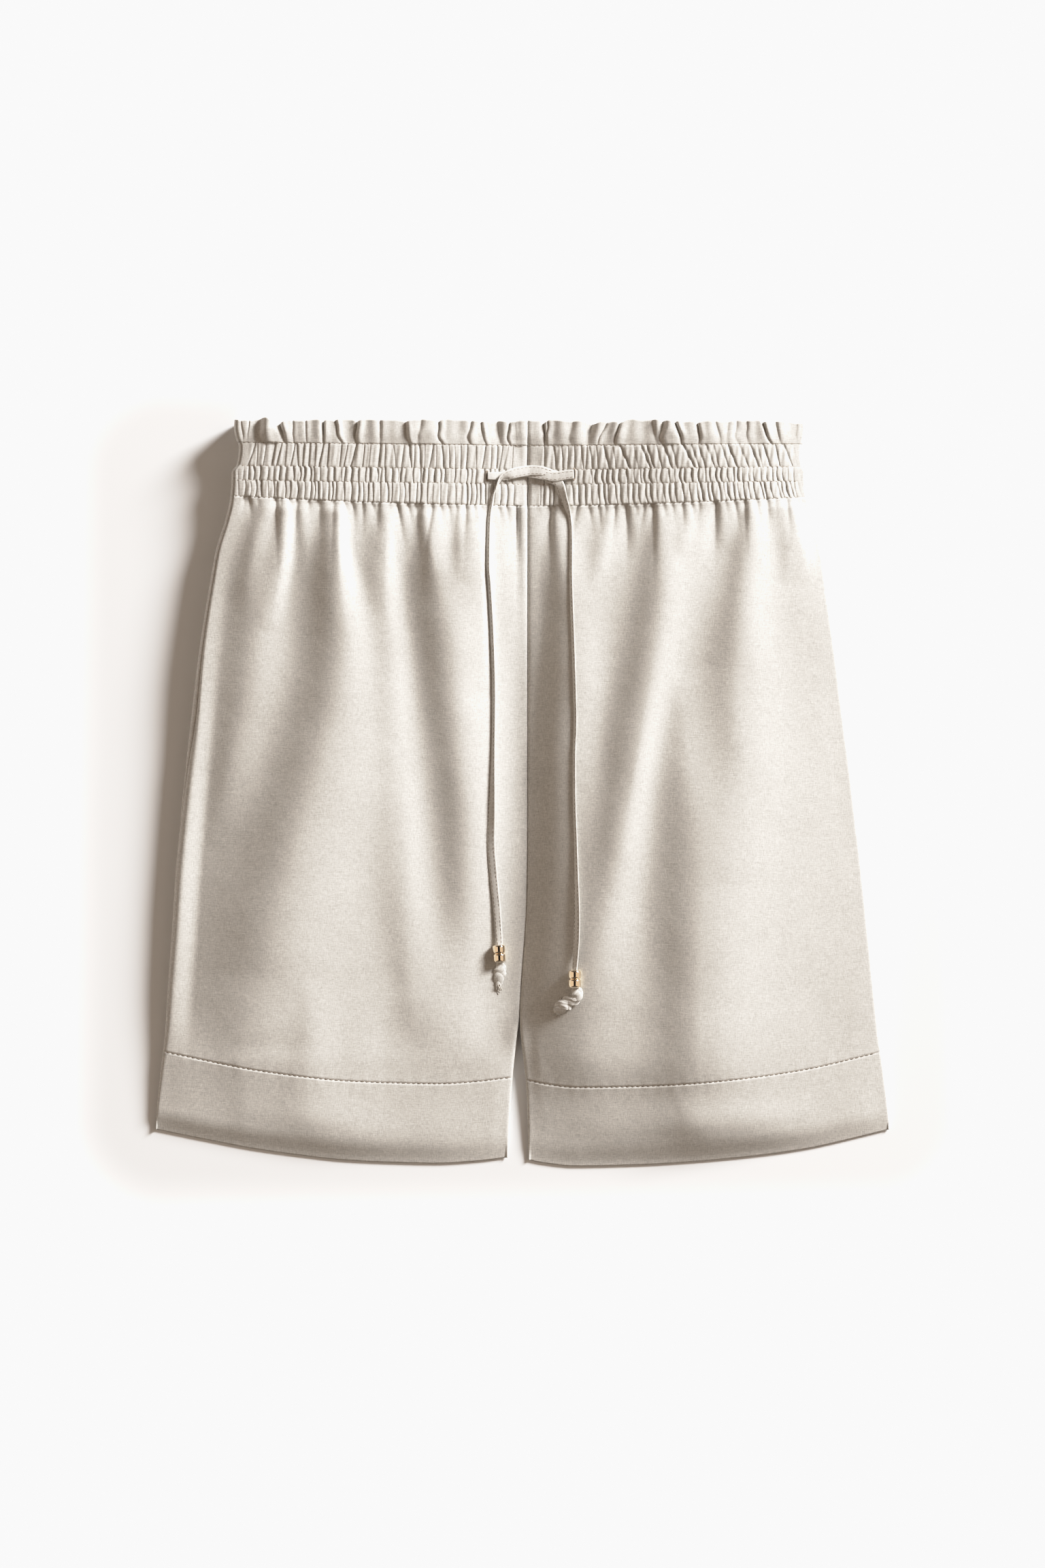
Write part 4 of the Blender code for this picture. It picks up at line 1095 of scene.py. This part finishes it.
# ------------------------------------------------------------------ beads
BEAD_WIDE = 7.1
BEAD_LONG = 9.7
BEAD_PLACES = (
    # side, photo x, y of its middle, lean in degrees, and how far it stands off the cloth
    ("right", 733.6, 1401.5, -3.0, -1.3),
    ("left", 844.3, 1437.0, 0.0, -1.3),
)
beads = []
bead_middles = {}
for side, px, py, lean, off in BEAD_PLACES:
    ring = BEAD_LONG / 4
    profile = []
    for middle in (-ring, ring):
        t = np.linspace(-1, 1, 25)
        t = np.sin(t * math.pi / 2)
        radius = 2.5 + (BEAD_WIDE / 2 - 2.5) * (1 - np.abs(t) ** 4.5) ** (1 / 2.0)
        profile += list(zip(middle + ring * 0.985 * t, radius))
    hole = 1.55
    profile = [(profile[0][0] + 1.2, hole), (profile[0][0], hole + 0.15)] + profile + [(profile[-1][0], hole + 0.15), (profile[-1][0] - 1.2, hole)]
    turn = np.linspace(0, 2 * math.pi, 64, endpoint=False)
    along = np.array([p[0] for p in profile])[:, None] + 0 * turn
    radius = np.array([p[1] for p in profile])[:, None]
    x0, y0 = float(X(px)), float(Y(py))
    patch = np.array([front_top(np.array([x0 + dx]), np.array([y0 + dy]))[0] for dx in (-1.5, 0, 1.5) for dy in (-4, -2, 0, 2, 4)])
    z0 = float(patch.mean()) + off + BEAD_WIDE / 2
    bead_middles[side] = (x0, y0, z0)
    c, d = math.cos(math.radians(lean)), math.sin(math.radians(lean))
    local_x, local_z = radius * np.cos(turn), radius * np.sin(turn)
    grid = np.stack([x0 + local_x * c + along * d, y0 - local_x * d + along * c, z0 + local_z], axis=-1)
    bead = grid_mesh("double_bead_" + side, grid, closed=True, flip=False)
    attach(bead, "root")
    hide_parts("bead_" + side)
    beads.append(bead)


# ------------------------------------------------------------------ knotted, frayed ends
def crumpled(name, table, node_name, seed, ridges, twist):
    """A knotted end of tape: a lumpy cord with slanting folds over it."""
    rows = through([(float(X(a)), float(Y(b)), r, h) for a, b, r, h in table], 0.22)
    x, y, radius, high = rows.T
    z = eased(cloth_under(x, y, 2.0), 6) + 0.6 * high + radius * 0.24
    centre = np.stack([x, y, z], axis=1)
    run = np.gradient(centre, axis=0)
    run /= np.linalg.norm(run, axis=1)[:, None]
    aside = np.cross(run, (0.0, 0.0, 1.0))
    aside /= np.linalg.norm(aside, axis=1)[:, None]
    up = np.cross(aside, run)
    turn = np.linspace(0, 2 * math.pi, 72, endpoint=False)
    along = np.arange(len(x)) * 0.22
    rng = np.random.default_rng(seed)
    size = np.ones((len(x), 72))
    a, t = np.meshgrid(along, turn, indexing="ij")
    for _ in range(7):
        size += rng.uniform(0.02, 0.06) * np.sin(rng.integers(1, 5) * t + a * rng.uniform(0.4, 1.9) + rng.uniform(0, 6))
    fold = np.abs(np.sin(ridges * a / 2 + twist * np.sin(t + 0.4) + 0.5))
    size += 0.22 * (fold**0.6 - 0.6)
    size *= 1 + 0.05 * np.sin(9 * t + 3 * a)
    ring = centre[:, None] + (
        aside[:, None] * (np.cos(t) * 1.05)[..., None] + up[:, None] * (np.sin(t) * 0.42)[..., None]
    ) * (radius[:, None] * size)[..., None]
    first = centre[:1, None].repeat(72, axis=1) - run[0] * 0.2
    last = centre[-1:, None].repeat(72, axis=1) + run[-1] * 0.2
    obj = grid_mesh(name, np.concatenate([first, ring, last]), closed=True, flip=True)
    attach(obj, "root")
    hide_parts(node_name)
    return obj, centre


# photo x, y, radius in mm, height off the cloth
RIGHT_TAIL = (
    (734.2, 1413.5, 1.5, 1.0), (735.0, 1419.0, 2.3, 0.3), (735.6, 1425.0, 2.9, 0.0), (734.4, 1432.0, 2.9, 0.0),
    (733.2, 1440.0, 2.3, 0.0), (732.4, 1447.0, 1.7, 0.0), (731.8, 1453.0, 0.9, 0.0),
)
LEFT_TAIL = (
    (845.6, 1449.0, 1.6, 1.0), (847.0, 1455.0, 2.6, 0.4), (848.0, 1461.5, 2.9, 0.1), (844.6, 1467.5, 2.6, 0.0),
    (837.5, 1470.5, 2.7, 0.0), (829.0, 1475.5, 3.4, 0.0), (823.5, 1480.0, 3.2, 0.0), (819.0, 1484.5, 2.3, 0.0),
    (816.0, 1487.5, 1.1, 0.0),
)
right_tail, right_tail_line = crumpled("tail_knot_right", RIGHT_TAIL, "tail_right", 5, 1.35, 1.5)
left_tail, left_tail_line = crumpled("tail_knot_left", LEFT_TAIL, "tail_left", 9, 1.25, 1.9)


def fringe(seed, count, x, y, towards, spread, long):
    """Loose thread ends from one place on the cloth."""
    rng = np.random.default_rng(seed)
    out = []
    for _ in range(count):
        angle = math.radians(towards + rng.uniform(-spread, spread))
        reach = long * rng.uniform(0.45, 1.0)
        bend = rng.uniform(-0.7, 0.7)
        t = np.linspace(0, 1, 9)
        px = x + rng.uniform(-1.2, 1.2) + reach * t * np.cos(angle + bend * t)
        py = y + rng.uniform(-1.2, 1.2) + reach * t * np.sin(angle + bend * t)
        z = front_top(px, py) + 1.6 * (1 - t) ** 2 + 0.16 + 0.3 * rng.uniform(0, 1) * np.sin(math.pi * t)
        out.append(np.stack([px, py, z], axis=1))
    return out


threads = follow(
    fringe(21, 16, float(X(731.8)), float(Y(1449)), -88, 26, 4.6) + fringe(22, 26, float(X(819)), float(Y(1483)), -128, 38, 4.8)
    + fringe(23, 7, float(X(826)), float(Y(1470)), 150, 30, 2.6),
    "frayed_threads", 0.13)

for run, bead, tail, extra in ((right_tape, beads[0], right_tail, [right_exit[0]]), (left_tape, beads[1], left_tail, [left_exit[0]])):
    line = run[1] * MM
    tuple(map(float, line[0]))
    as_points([tuple(map(float, p)) for p in line[::4]] + [tuple(map(float, line[-1]))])

# ------------------------------------------------------------------ stitches and buttonholes
STITCH = 2.9
seam_threads, row_threads = [], []
for leg in (1, 2):
    for row in range(4):
        y = ROW_LINES[row] + 2.0
        a, b = float(side_x(leg, y)), CENTRE
        inset = 3.0 if leg == 1 else -3.0
        x = np.arange(min(a + inset, b), max(a + inset, b), 0.35)
        line = np.stack([x, row_line(row, x), front_height(x, row_line(row, x), leg) + THIN / 2 + 0.02], axis=1)
        line[:, 2] = np.maximum(line[:, 2], eased(line[:, 2], 2))
        row_threads += stitch_paths(line, STITCH * 0.93, 1.5, 0.10)
    edge = side_x(leg, -150.0)
    x = np.arange(min(edge, 0), max(edge, 0), 0.5)
    x = x[(x > -200.5) & (x < inner_x(1, -155.0) - 1.2)] if leg == 1 else x[(x < 199.5) & (x > inner_x(2, -155.0) + 1.2)]
    y = hem_stitch(leg, x)
    line = np.stack([x, y, front_height(x, y, leg) + THIN / 2 + 0.10], axis=1)
    seam_threads += stitch_paths(line, STITCH, 2.2, 0.1)
stitching = follow(seam_threads, "stitching", 0.21)
row_stitching = follow(row_threads, "row_stitching", 0.15)

tape_threads = []
for run in (right_tape, left_tape, left_exit):
    _, centre, across, face, share = run
    for place in (-0.60, 0.60):
        for way in (-1.0, 1.0):
            line = centre + across * (place * TAPE_WIDE / 2 * share)[:, None] + face * way * (TAPE_DEEP / 2 - 0.06)
            tape_threads += stitch_paths(line[::2], 2.3, 1.5, 0.0)
tape_stitching = follow(tape_threads, "tape_stitching", 0.12)

BUTTONHOLES = ((716.4, 700.4, 4.9), (843.8, 697.0, 5.6))
ring_threads, slits = [], []
for px, py, tall in BUTTONHOLES:
    x0, y0 = float(X(px)), float(Y(py))
    count = 46
    for k in range(count):
        angle = 2 * math.pi * k / count
        direction = np.array([math.cos(angle), math.sin(angle)])
        inner_point = np.array([0.35 * direction[0], (tall / 2) * direction[1]])
        outer_point = np.array([1.15 * direction[0], (tall / 2 + 0.75) * direction[1]])
        t = np.linspace(0, 1, 5)[:, None]
        plan = inner_point * (1 - t) + outer_point * t + (x0, y0)
        z = eased(front_top(plan[:, 0], plan[:, 1]), 2) + 0.18 + 0.1 * np.sin(math.pi * t[:, 0])
        ring_threads.append(np.concatenate([plan, z[:, None]], axis=1))
    y = np.linspace(-tall / 2, tall / 2, 12) + y0
    slits.append(np.stack([x0 + 0 * y, y, front_top(x0 + 0 * y, y) + 0.12], axis=1))
buttonhole_threads = follow(ring_threads, "buttonhole_stitching", 0.15)
# A near-black thread down each buttonhole is painted shade: the shadow inside the slit.
slit = follow(slits, "buttonhole_slits_painted_shade", 0.34)


# ------------------------------------------------------------------ materials
def node(tree, kind, **values):
    made = tree.nodes.new(kind)
    for key, value in values.items():
        if key in made.inputs:
            made.inputs[key].default_value = value
        else:
            setattr(made, key, value)
    return made


def mix_color(tree, a, b, factor, blend="MIX"):
    mix = tree.nodes.new("ShaderNodeMix")
    mix.data_type = "RGBA"
    mix.blend_type = blend
    for socket, value in ((mix.inputs[0], factor), (mix.inputs[6], a), (mix.inputs[7], b)):
        if isinstance(value, bpy.types.NodeSocket):
            tree.links.new(value, socket)
        else:
            socket.default_value = value
    return mix.outputs[2]


def stretched_noise(tree, scale, detail=2.0, roughness=0.5, offset=(0.0, 0.0, 0.0)):
    coordinates = tree.nodes.new("ShaderNodeTexCoord")
    mapping = tree.nodes.new("ShaderNodeMapping")
    mapping.inputs["Scale"].default_value = scale
    mapping.inputs["Location"].default_value = offset
    noise = tree.nodes.new("ShaderNodeTexNoise")
    noise.inputs["Scale"].default_value = 1.0
    noise.inputs["Detail"].default_value = detail
    noise.inputs["Roughness"].default_value = roughness
    tree.links.new(coordinates.outputs["Object"], mapping.inputs["Vector"])
    tree.links.new(mapping.outputs["Vector"], noise.inputs["Vector"])
    return noise.outputs["Fac"]


def ramp(tree, value, low, high, dark, light):
    made = tree.nodes.new("ShaderNodeMapRange")
    made.inputs["From Min"].default_value = low
    made.inputs["From Max"].default_value = high
    made.inputs["To Min"].default_value = dark
    made.inputs["To Max"].default_value = light
    tree.links.new(value, made.inputs["Value"])
    return made.outputs["Result"]


def add_values(tree, a, b, operation="ADD"):
    made = tree.nodes.new("ShaderNodeMath")
    made.operation = operation
    for socket, value in ((made.inputs[0], a), (made.inputs[1], b)):
        if isinstance(value, bpy.types.NodeSocket):
            tree.links.new(value, socket)
        else:
            socket.default_value = value
    return made.outputs[0]


def linen(name, color, slub=1.0):
    material = bpy.data.materials.new(name)
    material.use_nodes = True
    tree = material.node_tree
    shader = tree.nodes["Principled BSDF"]
    shader.inputs["Roughness"].default_value = 0.92
    shader.inputs["Specular IOR Level"].default_value = 0.18
    shader.inputs["Sheen Weight"].default_value = 0.10
    shader.inputs["Sheen Roughness"].default_value = 0.5
    weft = stretched_noise(tree, (420, 2600, 420), 2.0, 0.6)
    warp = stretched_noise(tree, (2600, 420, 420), 2.0, 0.6, (3.1, 7.7, 0))
    slubs = stretched_noise(tree, (110, 1500, 110), 2.0, 0.5, (9.0, 2.0, 1.0))
    cloud = stretched_noise(tree, (70, 70, 70), 3.0, 0.6, (4.0, 1.0, 2.0))
    tone = add_values(tree, ramp(tree, weft, 0.3, 0.7, -0.125 * slub, 0.125 * slub), ramp(tree, warp, 0.3, 0.7, -0.125 * slub, 0.125 * slub))
    tone = add_values(tree, tone, ramp(tree, slubs, 0.35, 0.75, 0.02 * slub, -0.045 * slub))
    tone = add_values(tree, tone, ramp(tree, cloud, 0.3, 0.7, -0.02, 0.02))
    tone = add_values(tree, tone, 1.0)
    grey = tree.nodes.new("ShaderNodeCombineColor")
    for channel in ("Red", "Green", "Blue"):
        tree.links.new(tone, grey.inputs[channel])
    shade = mix_color(tree, (*color, 1.0), grey.outputs[0], 1.0, "MULTIPLY")
    tree.links.new(shade, shader.inputs["Base Color"])
    bump = tree.nodes.new("ShaderNodeBump")
    bump.inputs["Strength"].default_value = 0.35
    bump.inputs["Distance"].default_value = 0.00012
    relief = add_values(tree, weft, warp)
    relief = add_values(tree, relief, slubs)
    tree.links.new(relief, bump.inputs["Height"])
    tree.links.new(bump.outputs["Normal"], shader.inputs["Normal"])
    return material


CLOTH_COLOR = (0.61, 0.595, 0.566)
linen_cloth = linen("linen_blend", CLOTH_COLOR)
tape_cloth = linen("tape_cloth", (0.665, 0.65, 0.62), 0.8)

for obj in pieces.values():
    obj.data.materials.append(linen_cloth)

for obj in tapes + [right_tail, left_tail]:
    obj.data.materials.append(tape_cloth)


def plain(name, color, roughness=0.9, metallic=0.0):
    material = bpy.data.materials.new(name)
    material.use_nodes = True
    shader = material.node_tree.nodes["Principled BSDF"]
    shader.inputs["Base Color"].default_value = (*color, 1.0)
    shader.inputs["Roughness"].default_value = roughness
    shader.inputs["Metallic"].default_value = metallic
    return material


# Real threads, coloured dark as painted shade: the dark stands for the shadowed holes and grooves of the stitches on
# the hems and the tape.
thread_painted_shade = plain("sewing_thread_painted_shade", (0.22, 0.18, 0.145))
loose_color = plain("loose_thread", (0.66, 0.62, 0.565))
stitching.data.materials.append(thread_painted_shade)
# The waist rows' threads are darker as painted shade of the stitch holes where the pleats end.
row_stitching.data.materials.append(plain("row_thread_painted_shade", (0.36, 0.31, 0.26)))
tape_stitching.data.materials.append(thread_painted_shade)
buttonhole_threads.data.materials.append(plain("buttonhole_thread", (0.42, 0.36, 0.30)))
slit.data.materials.append(plain("slit_shade", (0.05, 0.04, 0.032)))
threads.data.materials.append(loose_color)

gold = plain("pale_gold", (1.0, 0.875, 0.70), 0.09, 1.0)
gold_tree = gold.node_tree
brushed = ramp(gold_tree, stretched_noise(gold_tree, (900, 120, 900), 2.0, 0.5), 0.3, 0.7, 0.07, 0.11)
gold_tree.links.new(brushed, gold_tree.nodes["Principled BSDF"].inputs["Roughness"])
for bead in beads:
    bead.data.materials.append(gold)

# ------------------------------------------------------------------ floor
# The floor glows with painted light: beyond a box round the garment its emission rises from nothing at 30 mm to full at
# 85 mm, so it comes out white past the cast shadow.
floor_material = bpy.data.materials.new("floor")
floor_material.use_nodes = True
floor_shader = floor_material.node_tree.nodes["Principled BSDF"]
floor_shader.inputs["Base Color"].default_value = (0.93, 0.945, 0.965, 1.0)
floor_shader.inputs["Roughness"].default_value = 0.9
floor_shader.inputs["Specular IOR Level"].default_value = 0.1
floor_shader.inputs["Emission Color"].default_value = (1.0, 1.0, 1.0, 1.0)
tree = floor_material.node_tree
place = tree.nodes.new("ShaderNodeTexCoord")
reach = tree.nodes.new("ShaderNodeVectorMath")
reach.operation = "ABSOLUTE"
tree.links.new(place.outputs["Object"], reach.inputs[0])
beyond = tree.nodes.new("ShaderNodeVectorMath")
beyond.operation = "SUBTRACT"
beyond.inputs[1].default_value = (0.20, 0.18, 1.0)
tree.links.new(reach.outputs[0], beyond.inputs[0])
positive = tree.nodes.new("ShaderNodeVectorMath")
positive.operation = "MAXIMUM"
positive.inputs[1].default_value = (0.0, 0.0, 0.0)
tree.links.new(beyond.outputs[0], positive.inputs[0])
away = tree.nodes.new("ShaderNodeVectorMath")
away.operation = "LENGTH"
tree.links.new(positive.outputs[0], away.inputs[0])
# strength of the floor's painted glow, 0 to 0.6
lift = tree.nodes.new("ShaderNodeMapRange")
lift.interpolation_type = "SMOOTHSTEP"
lift.inputs["From Min"].default_value = 0.03
lift.inputs["From Max"].default_value = 0.085
lift.inputs["To Min"].default_value = 0.0
lift.inputs["To Max"].default_value = 0.6
tree.links.new(away.outputs["Value"], lift.inputs["Value"])
tree.links.new(lift.outputs["Result"], floor_shader.inputs["Emission Strength"])
floor = make_mesh("floor", [(-4, -4, -0.0004), (4, -4, -0.0004), (4, 4, -0.0004), (-4, 4, -0.0004)], [(0, 1, 2, 3)])
floor.data.materials.append(floor_material)
